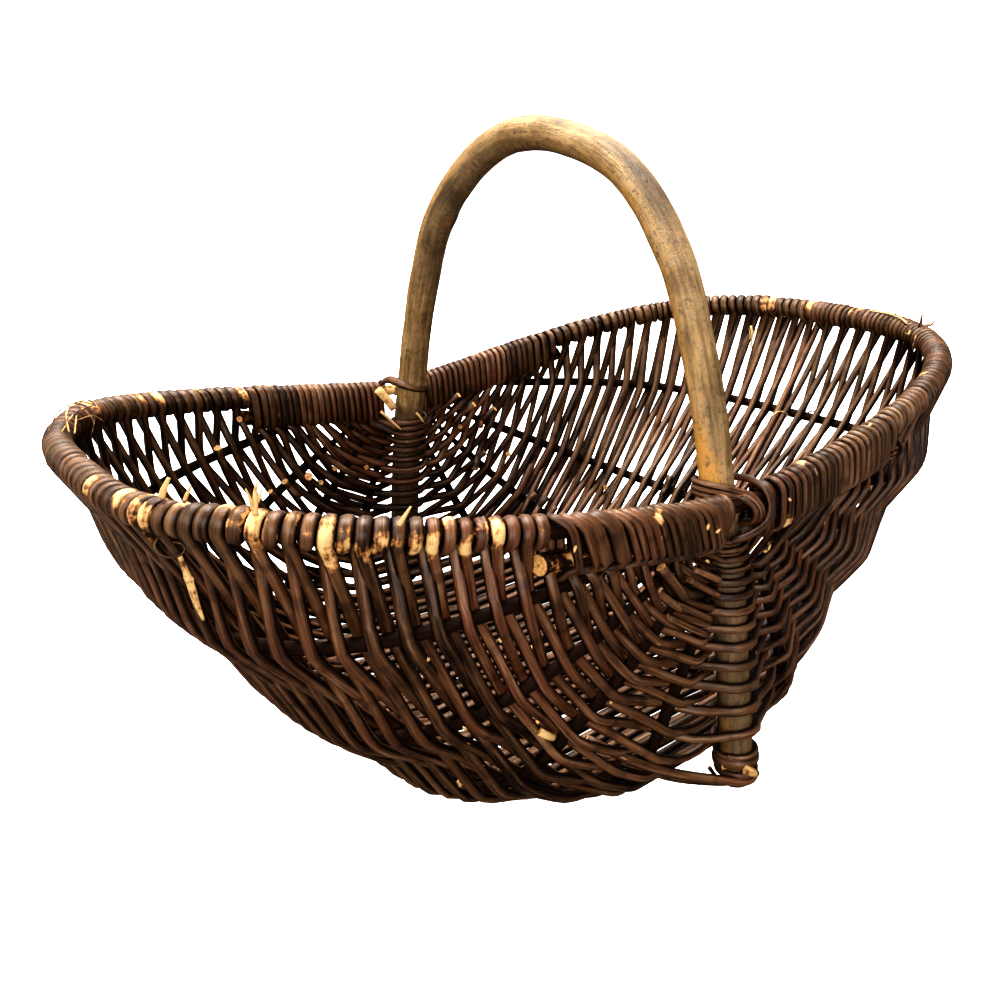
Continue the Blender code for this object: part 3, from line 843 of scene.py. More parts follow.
def relaxed(half, knots):
    """Adds a slightly wandering point in the middle of each long straight run."""
    result = [knots[0]]
    for before, knot in zip(knots, knots[1:]):
        span = (knot.place - before.place).length
        if span > 30 * MM:
            middle = before.place.lerp(knot.place, half.random.uniform(0.4, 0.6))
            middle += knot.normal * half.random.uniform(-0.8, 0.8) * MM
            middle.z += half.random.uniform(-1.1, 1.1) * MM
            width = (before.width + knot.width) / 2
            depth = (before.depth + knot.depth) / 2
            if max(before.place.z, knot.place.z) < SAG_HEIGHT:
                middle += (before.normal + knot.normal).normalized() * SAG
            result.append(Knot(middle, before.normal + knot.normal, width, depth, bend=SOFT_BEND))
        result.append(knot)
    return result


def weave_half(shape, weave, side_y, seed):
    """The bmesh of all the weavers of one half."""
    half = WeaveHalf(shape, weave, side_y, seed)
    bm = bmesh.new()
    for knots in cut_into_weavers(half, half.route()):
        thickness = half.random.uniform(0.92, 1.08)
        knots = relaxed(half, with_free_ends(half, knots))
        for i, knot in enumerate(knots):
            taper = thickness * (1.06 - 0.14 * i / len(knots))
            knot.width *= taper
            knot.depth *= taper
            knot.place = bellied(knot.place)
            knot.place.z = max(knot.place.z, knot.depth / 2)
        add_rod(bm, round_corners(knots), weave.sides, half.random.random())
    return bm


def lashing_piece(name, strands, replaced):
    """Thin rods bound round a crossing, from lists of points in millimetres."""
    chance = random.Random(SEEDS[name])
    bm = bmesh.new()
    for points, centre, width, depth in strands:
        centre = Vector(centre) * MM
        knots = []
        for point in points:
            place = Vector(point) * MM
            knots.append(Knot(place, place - centre, width * MM, depth * MM))
        add_rod(bm, smooth_knots(knots, 5), THIN_SIDES, chance.random())
    finish_piece(name, bm, "weaver_bark", replaced)


def ring_points(centre, radius, heights, start, end):
    """Points of a turn round an upright rod, in millimetres, rising evenly through the heights."""
    count = max(4, round(abs(end - start) / 30))
    points = []
    for i in range(count + 1):
        share = i / count
        angle = math.radians(start + (end - start) * share)
        height = heights[0] + (heights[1] - heights[0]) * share
        points.append((centre[0] + radius * math.cos(angle), centre[1] + radius * math.sin(angle), height))
    return points


def add_node(tree, kind, settings=None, **values):
    """A node with its settings and the values of its named inputs."""
    node = tree.nodes.new(kind)
    for name, value in (settings or {}).items():
        setattr(node, name, value)
    for name, value in values.items():
        node.inputs[name.replace("_", " ")].default_value = value
    return node


def add_math(tree, operation, first, second):
    """A Math node whose operands are outputs or plain numbers."""
    node = add_node(tree, "ShaderNodeMath", {"operation": operation})
    for socket, value in zip(node.inputs, (first, second)):
        if isinstance(value, (int, float)):
            socket.default_value = value
        else:
            tree.links.new(value, socket)
    return node.outputs[0]


def scaled(tree, value, factor):
    """A value times a factor."""
    return add_math(tree, "MULTIPLY", value, factor)


def total(tree, first, second):
    """Two values added."""
    return add_math(tree, "ADD", first, second)


def attribute(tree, name):
    """A float attribute of the mesh."""
    return add_node(tree, "ShaderNodeAttribute", {"attribute_name": name}).outputs["Fac"]


def add_range(tree, value, low, high):
    """0 below low, 1 above high."""
    node = add_node(tree, "ShaderNodeMapRange", {"clamp": True})
    node.inputs["From Min"].default_value = low
    node.inputs["From Max"].default_value = high
    tree.links.new(value, node.inputs["Value"])
    return node.outputs["Result"]


def add_mix(tree, share, first, second):
    """A colour between two colours or colour outputs."""
    node = add_node(tree, "ShaderNodeMix", {"data_type": "RGBA"})
    sockets = [socket for socket in node.inputs if socket.enabled]
    for socket, value in zip(sockets, (share, first, second)):
        if isinstance(value, bpy.types.NodeSocket):
            tree.links.new(value, socket)
        elif socket.type == "RGBA":
            socket.default_value = (*value, 1)
        else:
            socket.default_value = value
    return next(socket for socket in node.outputs if socket.enabled)


def add_noise(tree, vector, scale, detail=3.0, roughness=0.55):
    node = add_node(tree, "ShaderNodeTexNoise", Scale=scale, Detail=detail, Roughness=roughness)
    tree.links.new(vector, node.inputs["Vector"])
    return node.outputs["Fac"]


def new_group(name, inputs, outputs):
    """An empty node group with its sockets, and its input and output nodes."""
    tree = bpy.data.node_groups.new(name, "ShaderNodeTree")
    for socket_name, kind, default in inputs:
        socket = tree.interface.new_socket(socket_name, in_out="INPUT", socket_type=kind)
        if default is not None:
            socket.default_value = default
    for socket_name, kind in outputs:
        tree.interface.new_socket(socket_name, in_out="OUTPUT", socket_type=kind)
    return tree, tree.nodes.new("NodeGroupInput"), tree.nodes.new("NodeGroupOutput")


def rod_grain_group():
    """Streaks, buds and fine relief that run along a rod, from its bark UV map."""
    if "rod_grain" in bpy.data.node_groups:
        return bpy.data.node_groups["rod_grain"]
    tree, source, result = new_group(
        "rod_grain",
        [("Vector", "NodeSocketVector", None), ("Tone", "NodeSocketFloat", 0.5),
         ("Round", "NodeSocketFloat", 2.0), ("Along", "NodeSocketFloat", 4.0)],
        [("Streaks", "NodeSocketFloat"), ("Fibres", "NodeSocketFloat"), ("Buds", "NodeSocketFloat"),
         ("Bands", "NodeSocketFloat"), ("Relief", "NodeSocketFloat"), ("Broad", "NodeSocketFloat")])
    split = add_node(tree, "ShaderNodeSeparateXYZ")
    tree.links.new(source.outputs["Vector"], split.inputs[0])
    turn = scaled(tree, split.outputs["X"], 2 * math.pi)
    across = scaled(tree, add_math(tree, "COSINE", turn, 0), source.outputs["Round"])
    upward = scaled(tree, add_math(tree, "SINE", turn, 0), source.outputs["Round"])
    # Broad is 1 on a rod's two broad faces and 0 at its flanks; the weavers' finish paints the flanks darker
    # with it as painted shade
    broad = add_math(tree, "ABSOLUTE", add_math(tree, "COSINE", turn, 0), 0)
    shift = scaled(tree, source.outputs["Tone"], 61.0)
    along = total(tree, split.outputs["Y"], shift)
    stretched = scaled(tree, along, source.outputs["Along"])
    grain = add_node(tree, "ShaderNodeCombineXYZ")
    for value, socket in zip((across, upward, stretched), grain.inputs):
        tree.links.new(value, socket)
    streaks = add_noise(tree, grain.outputs[0], 1.0, 3.0, 0.6)
    fibres = add_noise(tree, grain.outputs[0], 4.5, 3.0, 0.65)
    spot = add_node(tree, "ShaderNodeCombineXYZ")
    tree.links.new(scaled(tree, across, 0.18), spot.inputs[0])
    tree.links.new(scaled(tree, upward, 0.18), spot.inputs[1])
    tree.links.new(scaled(tree, along, 2.6), spot.inputs[2])
    cells = add_node(tree, "ShaderNodeTexVoronoi", Scale=1.0)
    tree.links.new(spot.outputs[0], cells.inputs["Vector"])
    buds = add_math(tree, "SUBTRACT", 1.0, add_range(tree, cells.outputs["Distance"], 0.03, 0.06))
    bands = add_node(tree, "ShaderNodeTexNoise", {"noise_dimensions": "1D"}, Scale=9.0, Detail=2.0)
    tree.links.new(along, bands.inputs["W"])
    relief = total(tree, fibres, scaled(tree, buds, 0.8))
    for name, value in (("Streaks", streaks), ("Fibres", fibres), ("Buds", buds),
                        ("Bands", bands.outputs["Fac"]), ("Relief", relief), ("Broad", broad)):
        tree.links.new(value, result.inputs[name])
    return tree


def peeled_group():
    """Lays pale wood over bark where it is rubbed off, with a torn orange edge."""
    if "peeled_patch" in bpy.data.node_groups:
        return bpy.data.node_groups["peeled_patch"]
    tree, source, result = new_group(
        "peeled_patch",
        [("Bark", "NodeSocketColor", None), ("Wood", "NodeSocketColor", None),
         ("Torn", "NodeSocketColor", None), ("Peel", "NodeSocketFloat", 0.0),
         ("Grain", "NodeSocketFloat", 0.5)],
        [("Color", "NodeSocketColor"), ("Mask", "NodeSocketFloat")])
    place = add_node(tree, "ShaderNodeTexCoord").outputs["Object"]
    chips = add_noise(tree, place, 190.0, 3.0, 0.6)
    ragged = total(tree, scaled(tree, source.outputs["Grain"], 0.45), scaled(tree, chips, 0.9))
    edge = total(tree, scaled(tree, source.outputs["Peel"], 0.55), ragged)
    torn = add_range(tree, edge, 0.9, 1.0)
    bare = add_range(tree, edge, 0.97, 1.12)
    inner = add_mix(tree, torn, source.outputs["Bark"], source.outputs["Torn"])
    outer = add_mix(tree, bare, inner, source.outputs["Wood"])
    tree.links.new(outer, result.inputs["Color"])
    tree.links.new(torn, result.inputs["Mask"])
    return tree


def place_group(tree, group, **values):
    node = tree.nodes.new("ShaderNodeGroup")
    node.node_tree = group
    for name, value in values.items():
        if isinstance(value, bpy.types.NodeSocket):
            tree.links.new(value, node.inputs[name])
        else:
            node.inputs[name].default_value = value
    return node


def add_ramp(tree, share, stops):
    """A colour ramp with its stops given as (place, colour)."""
    node = add_node(tree, "ShaderNodeValToRGB")
    ramp = node.color_ramp
    while len(ramp.elements) < len(stops):
        ramp.elements.new(0.5)
    for element, (place, color) in zip(ramp.elements, stops):
        element.position = place
        element.color = (*color, 1)
    tree.links.new(share, node.inputs["Fac"])
    return node.outputs["Color"]


def new_material(name):
    material = bpy.data.materials.new(name)
    material.use_nodes = True
    return material, material.node_tree, material.node_tree.nodes["Principled BSDF"]


def add_bump(tree, shader, height, strength, depth):
    node = add_node(tree, "ShaderNodeBump", Strength=strength, Distance=depth)
    tree.links.new(height, node.inputs["Height"])
    tree.links.new(node.outputs["Normal"], shader.inputs["Normal"])


def rod_inputs(tree, around, along):
    """The rod grain, the rod's own tone and its peel, read from the mesh."""
    bark = add_node(tree, "ShaderNodeUVMap", {"uv_map": "bark"})
    tone, peel = attribute(tree, "tone"), attribute(tree, "peel")
    grain = place_group(
        tree, rod_grain_group(), Vector=bark.outputs["UV"], Tone=tone, Round=around, Along=along)
    return grain.outputs, tone, peel


def add_peeled(tree, shader, colors, bark, peel, grain):
    """Colours the shader with bark that is rubbed off where the mesh says so."""
    patch = place_group(tree, peeled_group(), Bark=bark, Wood=(*colors.peeled_wood, 1),
                        Torn=(*colors.torn_wood, 1), Peel=peel, Grain=grain["Streaks"])
    tree.links.new(patch.outputs["Color"], shader.inputs["Base Color"])
    return patch.outputs["Mask"]


def weaver_bark_material(colors):
    """Dark willow bark, browner or redder from rod to rod, with buds and rubbed places, and painted shade
    darkening each rod towards its flanks.
    """
    material, tree, shader = new_material("weaver_bark")
    grain, tone, peel = rod_inputs(tree, 1.6, 3.2)
    place = add_node(tree, "ShaderNodeTexCoord").outputs["Object"]
    patches = add_noise(tree, place, 9.0, 2.0)
    share = add_range(tree, total(tree, grain["Streaks"], scaled(tree, tone, 0.25)), 0.36, 0.95)
    dark_stop, pale_stop = (0.0, colors.bark_dark_and_shade), (1.0, colors.bark_pale)
    brown = add_ramp(tree, share, [dark_stop, (0.5, colors.bark_brown), pale_stop])
    red = add_ramp(tree, share, [dark_stop, (0.55, colors.bark_red), pale_stop])
    hue = add_range(tree, total(tree, patches, scaled(tree, tone, 0.35)), 0.4, 1.0)
    bark = add_mix(tree, hue, brown, red)
    band_share = scaled(tree, add_range(tree, grain["Bands"], 0.55, 0.75), 0.45)
    banded = add_mix(tree, band_share, bark, colors.bark_dark_and_shade)
    # Painted shade: each rod is darker towards its flanks, for the shade between neighbouring rods
    flank_shaded = add_mix(tree, add_range(tree, grain["Broad"], 0.12, 0.85), colors.bark_dark_and_shade, banded)
    worn = add_mix(tree, scaled(tree, grain["Buds"], 0.75), flank_shaded, colors.bark_bud)
    peeled = add_peeled(tree, shader, colors, worn, peel, grain)
    shader.inputs["Specular IOR Level"].default_value = 0.35
    rough = total(tree, scaled(tree, grain["Fibres"], 0.3), 0.25)
    tree.links.new(total(tree, rough, scaled(tree, peeled, 0.2)), shader.inputs["Roughness"])
    height = add_math(tree, "SUBTRACT", grain["Relief"], scaled(tree, peeled, 0.7))
    add_bump(tree, shader, height, 0.5, 0.0006)
    return material


def rod_bark_material(colors):
    """The thicker frame rods: darker, duller bark, made near black partly as painted shade where they lie
    between the weavers and under the wraps.
    """
    material, tree, shader = new_material("rod_bark")
    shader.inputs["Specular IOR Level"].default_value = 0.12
    grain, _, peel = rod_inputs(tree, 2.2, 3.0)
    bark = add_ramp(tree, grain["Streaks"], [
        (0.25, colors.bark_dark_and_shade), (0.7, colors.rib_bark_and_shade), (1.0, colors.bark_red)])
    worn = add_mix(tree, grain["Buds"], bark, colors.bark_bud)
    add_peeled(tree, shader, colors, worn, peel, grain)
    tree.links.new(add_range(tree, grain["Fibres"], -0.6, 1.1), shader.inputs["Roughness"])
    add_bump(tree, shader, grain["Relief"], 0.5, 0.0008)
    return material


def cut_wood_material(colors):
    """A cut end: pale wood with faint rings, a pith and a thin dark bark edge."""
    material, tree, shader = new_material("cut_wood")
    bark = add_node(tree, "ShaderNodeUVMap", {"uv_map": "bark"})
    centred = add_node(tree, "ShaderNodeVectorMath", {"operation": "SUBTRACT"})
    centred.inputs[1].default_value = (0.5, 0.5, 0)
    tree.links.new(bark.outputs["UV"], centred.inputs[0])
    length = add_node(tree, "ShaderNodeVectorMath", {"operation": "LENGTH"})
    tree.links.new(centred.outputs[0], length.inputs[0])
    radius = length.outputs["Value"]
    place = add_node(tree, "ShaderNodeTexCoord").outputs["Object"]
    stain = add_noise(tree, place, 700.0, 2.0)
    rings = add_math(tree, "SINE", scaled(tree, radius, 55.0), 0)
    shade = total(tree, scaled(tree, rings, 0.06), stain)
    wood = add_mix(tree, add_range(tree, shade, 0.35, 0.75), colors.cut_wood, colors.torn_wood)
    pith = add_math(tree, "SUBTRACT", 1.0, add_range(tree, radius, 0.05, 0.09))
    cored = add_mix(tree, scaled(tree, pith, 0.7), wood, colors.bark_red)
    edged = add_mix(tree, add_range(tree, radius, 0.42, 0.47), cored, colors.bark_dark_and_shade)
    tree.links.new(edged, shader.inputs["Base Color"])
    shader.inputs["Roughness"].default_value = 0.75
    add_bump(tree, shader, shade, 0.3, 0.0004)
    return material


def handle_bark_material(colors):
    """Olive handle bark with pale and dark patches, ochre spots and wrinkles in the bend. Its leg, front left
    strip, upper side and folds are darker as painted shade, and its flanks ochre as painted highlight.
    """
    material, tree, shader = new_material("handle_bark")
    grain, _, _ = rod_inputs(tree, 3.2, 3.6)
    place = add_node(tree, "ShaderNodeTexCoord").outputs["Object"]
    patches = add_noise(tree, place, 38.0, 4.0, 0.6)
    specks = add_noise(tree, place, 330.0, 4.0, 0.7)
    ochre, dark, crease = (attribute(tree, name) for name in ("ochre", "dark", "crease"))
    blend = total(tree, scaled(tree, grain["Streaks"], 0.55), scaled(tree, patches, 0.45))
    bark = add_ramp(tree, blend, [
        (0.33, colors.handle_dark), (0.46, colors.handle_bark),
        (0.58, colors.handle_pale), (0.7, colors.handle_bark)])
    # ochre carries ochre spots and also the painted highlight on the flanks
    ochre_share = add_range(tree, total(tree, ochre, scaled(tree, specks, 1.1)), 0.6, 1.0)
    yellow = add_mix(tree, ochre_share, bark, colors.handle_ochre_and_highlight)
    speck_share = scaled(tree, add_range(tree, specks, 0.45, 0.34), 0.7)
    speckled = add_mix(tree, speck_share, yellow, colors.handle_dark)
    # dark carries dark marks and also the painted shade of the leg, the front left strip and the upper side
    dark_share = add_range(tree, total(tree, dark, scaled(tree, patches, 0.6)), 0.6, 1.1)
    knotted_and_shaded = add_mix(tree, dark_share, speckled, colors.handle_knot_and_shade)
    along = add_node(tree, "ShaderNodeUVMap", {"uv_map": "bark"})
    squeezed = add_node(tree, "ShaderNodeMapping")
    squeezed.inputs["Scale"].default_value = (9.0, 420.0, 1.0)
    tree.links.new(along.outputs["UV"], squeezed.inputs["Vector"])
    folds = add_noise(tree, squeezed.outputs[0], 1.0, 2.0)
    # The fold troughs are painted darker as painted shade, besides the bump that sinks them
    fold_share = scaled(tree, add_range(tree, folds, 0.46, 0.6), crease)
    fold_shaded = add_mix(tree, scaled(tree, fold_share, 0.8), knotted_and_shaded, colors.handle_knot_and_shade)
    tree.links.new(fold_shaded, shader.inputs["Base Color"])
    tree.links.new(add_range(tree, specks, -0.5, 1.0), shader.inputs["Roughness"])
    rough_height = total(tree, scaled(tree, specks, 0.5), grain["Relief"])
    height = add_math(tree, "SUBTRACT", rough_height, scaled(tree, fold_share, 1.5))
    add_bump(tree, shader, height, 0.55, 0.0011)
    return material


def floor_material():
    """Plain pale floor, overlit to the eye and greyer in the light that it throws back."""
    material, tree, shader = new_material("floor")
    shader.inputs["Base Color"].default_value = (0.12, 0.12, 0.12, 1)
    shader.inputs["Roughness"].default_value = 0.9
    pale = add_node(tree, "ShaderNodeBsdfDiffuse", Color=(0.9, 0.9, 0.9, 1))
    glow = add_node(tree, "ShaderNodeEmission", Strength=FLOOR_GLOW)
    lit = tree.nodes.new("ShaderNodeAddShader")
    tree.links.new(pale.outputs[0], lit.inputs[0])
    tree.links.new(glow.outputs[0], lit.inputs[1])
    chooser = tree.nodes.new("ShaderNodeMixShader")
    seen = tree.nodes.new("ShaderNodeLightPath")
    tree.links.new(seen.outputs["Is Camera Ray"], chooser.inputs["Fac"])
    tree.links.new(shader.outputs[0], chooser.inputs[1])
    tree.links.new(lit.outputs[0], chooser.inputs[2])
    tree.links.new(chooser.outputs[0], tree.nodes["Material Output"].inputs["Surface"])
    return material


MAKERS = {
    "weaver_bark": weaver_bark_material,
    "rod_bark": rod_bark_material,
    "handle_bark": handle_bark_material,
    "cut_wood": cut_wood_material,
}


FINISHES = {}


def finish(name):
    """A finish of the basket, made when it is first asked for."""
    if name not in FINISHES:
        FINISHES[name] = MAKERS[name](bpy.context.scene.basket_finish)
    return FINISHES[name]


def length_property(name, description, length):
    return FloatProperty(name=name, description=description, default=length, unit="LENGTH")


def color_property(name, description, color):
    return FloatVectorProperty(
        name=name, description=description, subtype="COLOR", size=3, min=0, max=1, default=color)


class BasketShape(bpy.types.PropertyGroup):
    """Sizes of the rods that the basket is built on."""

    rim_half_length: length_property(
        "Rim half length", "From the middle to the rim rod's axis along X", RIM_HIGH.x - RIM_ROD_RADIUS)
    rim_half_width: length_property(
        "Rim half width", "From the middle to the rim rod's axis along Y", RIM_HIGH.y - RIM_ROD_RADIUS)
    rim_dip_height: length_property(
        "Rim height at the handle", "Height of the rim rod's axis where the handle crosses it", 164.5 * MM)
    rim_end_rise: length_property(
        "Rim rise", "How much higher the rim is at its ends than at the handle", 41 * MM)
    rim_rod_radius: length_property(
        "Rim rod radius", "Radius of the rod inside the wrapped rim", RIM_ROD_RADIUS)
    rib_radius: length_property("Rib radius", "Radius of a rib away from its tips", 3.8 * MM)
    rib_tip_radius: length_property("Rib tip radius", "Radius of a rib's pared tip", 1.5 * MM)
    rib_taper: length_property("Rib taper", "Length over which a rib's tip is pared", 60 * MM)
    filler_radius: length_property(
        "Filler rod radius", "Radius of a filler rod at its cut end", 5.4 * MM)
    handle_near_radius: length_property(
        "Handle radius, near leg", "Radius of the handle rod at its thin end", 9.0 * MM)
    handle_far_radius: length_property(
        "Handle radius, far leg", "Radius of the handle rod at its butt end", 10.6 * MM)


class BasketWeave(bpy.types.PropertyGroup):
    """How the weavers are spaced and how thick they are."""

    passes: IntProperty(name="Passes", description="Passes of the weave in each half", default=57, min=24)
    front_lead: IntProperty(
        name="Front lead", description="More passes of the front half, close to its crossing", default=2)
    near_passes: IntProperty(
        name="Near passes", description="Passes that also go round the filler rods", default=20)
    leg_passes: IntProperty(
        name="Leg passes", description="Passes that meet the handle's leg", default=24)
    first_rim_distance: length_property(
        "First distance on the rim", "From the crossing to the first pass, along the rim", 16 * MM)
    right_start: length_property(
        "Right start", "First turn on the rim right of the near crossing", 18 * MM)
    near_rim_pitch: length_property(
        "Near rim pitch", "Spacing of passes on the rim near a crossing", 5 * MM)
    first_leg_depth: length_property(
        "First depth on the leg", "From the crossing down to the first pass", 21.5 * MM)
    last_leg_height: length_property(
        "Last height on the leg", "Lowest pass that still goes round the leg", 30 * MM)
    middle_clearance: length_property(
        "Middle clearance", "From the last pass to the line where the halves meet", 3 * MM)
    left_width: length_property(
        "Left weaver width", "Thickness of the front weavers at the left end", 6.4 * MM)
    right_width: length_property(
        "Right weaver width", "Thickness of the front weavers at the right end", 4.7 * MM)
    back_width: length_property("Back weaver width", "Thickness of the back weavers", 5.6 * MM)
    near_width_share: FloatProperty(
        name="Near width share", description="Thickness near the crossing against that further out",
        default=0.78)
    wall_depth_share: FloatProperty(
        name="Wall depth share", description="Depth of a weaver in the wall against its width", default=0.92)
    rim_depth: length_property(
        "Rim depth", "Depth of a weaver where it is pressed round the rim", 4.5 * MM)
    corner_cut: length_property("Corner cut", "Length of the bend at a rib", 9 * MM)
    sides: IntProperty(name="Sides", description="Faces round a weaver", default=8, min=6)


class BasketFinish(bpy.types.PropertyGroup):
    """Colours of bark and wood."""

    # Dark bark is also the painted shade on each weaver's flanks
    bark_dark_and_shade: color_property("Dark bark", "Deepest bark of the weavers", (0.01, 0.003, 0.001))
    bark_brown: color_property("Brown bark", "Bark of the browner weavers", (0.115, 0.066, 0.03))
    bark_red: color_property("Red bark", "Bark of the redder weavers", (0.118, 0.046, 0.022))
    bark_pale: color_property("Pale bark", "Greyish streaks on the bark", (0.24, 0.155, 0.09))
    bark_bud: color_property("Buds", "Scars of the buds", (0.42, 0.24, 0.11))
    # Rib bark is bark colour and also painted shade, near black for rods that lie between the weavers
    rib_bark_and_shade: color_property("Rib bark", "Bark of ribs and rim rods", (0.024, 0.011, 0.005))
    peeled_wood: color_property("Peeled wood", "Wood where the bark is rubbed off", (0.5, 0.34, 0.165))
    torn_wood: color_property("Torn edge", "Edge of a rubbed place", (0.25, 0.115, 0.038))
    cut_wood: color_property("Cut wood", "Wood at a cut end", (0.55, 0.33, 0.14))
    handle_bark: color_property("Handle bark", "Olive bark of the handle", (0.17, 0.108, 0.044))
    handle_pale: color_property("Handle pale", "Pale patches of the handle", (0.29, 0.196, 0.098))
    handle_dark: color_property("Handle dark", "Dark streaks of the handle", (0.065, 0.04, 0.017))
    # Handle ochre is also the colour of the painted highlight along the handle's flanks
    handle_ochre_and_highlight: color_property("Handle ochre", "Ochre places of the handle", (0.34, 0.185, 0.05))
    # Handle knot is also the colour of the painted shade on the leg, the front left strip, the upper side and
    # the folds
    handle_knot_and_shade: color_property("Handle knot", "Knots and folds of the handle", (0.03, 0.016, 0.009))


class BASKET_OT_ribs(bpy.types.Operator):
    """Makes the eight ribs as round rods with pared tips"""

    bl_idname = "basket.ribs"
    bl_label = "Ribs"

    def execute(self, context):
        shape = context.scene.basket_shape
        chance = random.Random(SEEDS["ribs"])
        for name, spec in RIBS.items():
            path = rib_path(shape, spec, -1)
            knots = []
            for i in range(RIB_STEPS + 1):
                distance = spec.tip_start + (path.length - 2 * spec.tip_start) * i / RIB_STEPS
                radius = rib_radius(shape, spec, path.length, distance)
                width = 2 * radius * RIB_SHARE * (1 + 0.03 * math.sin(distance * 130 + spec.fan))
                place = bellied(path.at(distance))
                place.z = max(place.z, width / 2 + 0.5 * MM)
                knots.append(Knot(place, rib_outward(shape, spec, path, distance), width, width))
            bm = bmesh.new()
            add_rod(bm, knots, ROD_SIDES, chance.random())
            finish_piece(name + "_rod", bm, "rod_bark", (name,))
        return {"FINISHED"}


class BASKET_OT_rim(bpy.types.Operator):
    """Gives the rim rod its bark"""

    bl_idname = "basket.rim"
    bl_label = "Rim rod"

    def execute(self, context):
        shape = context.scene.basket_shape
        knots = []
        for i in range(RIM_STEPS + 1):
            place = rim_point(shape, 2 * math.pi * i / RIM_STEPS + 0.4)
            outward = Vector((place.x, place.y, 0)).normalized()
            peel = 0.75 if abs(place.x) < 40 * MM and place.y > 0 else 0.2
            knots.append(Knot(place, outward, 2 * shape.rim_rod_radius, 2 * shape.rim_rod_radius, peel=peel))
        bm = bmesh.new()
        add_rod(bm, knots, ROD_SIDES, 0.3)
        finish_piece("rim_rod", bm, "rod_bark", ("rim_hoop",))
        return {"FINISHED"}


class BASKET_OT_fillers(bpy.types.Operator):
    """Makes the four filler rods with their cut ends"""

    bl_idname = "basket.fillers"
    bl_label = "Filler rods"

    def execute(self, context):
        shape = context.scene.basket_shape
        for (side_x, side_y), reach in FILLERS.items():
            path = rim_path(shape, side_x, side_y)
            knots = []
            for i in range(FILLER_STEPS + 1):
                share = i / FILLER_STEPS
                distance = FILLER_START + (reach + 6 * MM - FILLER_START) * share
                place = path.at(distance)
                place.z -= FILLER_DROP + 0.6 * MM * share
                radius = FILLER_TIP_RADIUS + (shape.filler_radius - FILLER_TIP_RADIUS) * share
                outward = path.direction(distance).cross(UP) * side_x * -side_y
                place += outward.normalized() * (0.8 * share + 3.5 * max(0.0, 6 * share - 5) ** 2) * MM
                knots.append(Knot(place, outward, 2 * radius, 2 * radius, peel=0.4))
            bm = bmesh.new()
            add_rod(bm, knots, 14, 0.2 + 0.15 * side_x)
            name = "filler_%s_%s" % ("near" if side_y < 0 else "far", "left" if side_x < 0 else "right")
            finish_piece(name + "_rod", bm, "rod_bark", (name,))
        return {"FINISHED"}


class BASKET_OT_weave(bpy.types.Operator):
    """Weaves both halves of the wall, each as single rods from rim to rim"""

    bl_idname = "basket.weave"
    bl_label = "Weave"

    def execute(self, context):
        scene = context.scene
        for name, side_y in (("weave_front", -1), ("weave_back", 1)):
            bm = weave_half(scene.basket_shape, scene.basket_weave, side_y, SEEDS[name])
            finish_piece(name + "_rods", bm, "weaver_bark", (name,))
        return {"FINISHED"}


def mark_share(marks, run, angle, radius):
    """How strongly the marks of a list show at a place on the handle."""
    share = 0.0
    for middle, degrees, length, width in marks:
        around = math.remainder(angle - math.radians(degrees), 2 * math.pi) * radius
        reach = math.hypot((run - middle * MM) / (length * MM), around / (width * MM))
        share = max(share, 1.0 - reach)
    return share


def handle_swell(place, run, angle, radius):
    """How much thicker the handle is at a place, as a share of its radius."""
    swell = 0.035 * noise.noise(place * 38) + 0.02 * noise.noise(place * 120)
    for middle, degrees, height, size in HANDLE_BUMPS:
        around = math.remainder(angle - math.radians(degrees), 2 * math.pi) * radius
        reach = math.hypot(run - middle * MM, around) / (size * MM)
        swell += height * MM / radius * math.exp(-reach * reach)
    return swell


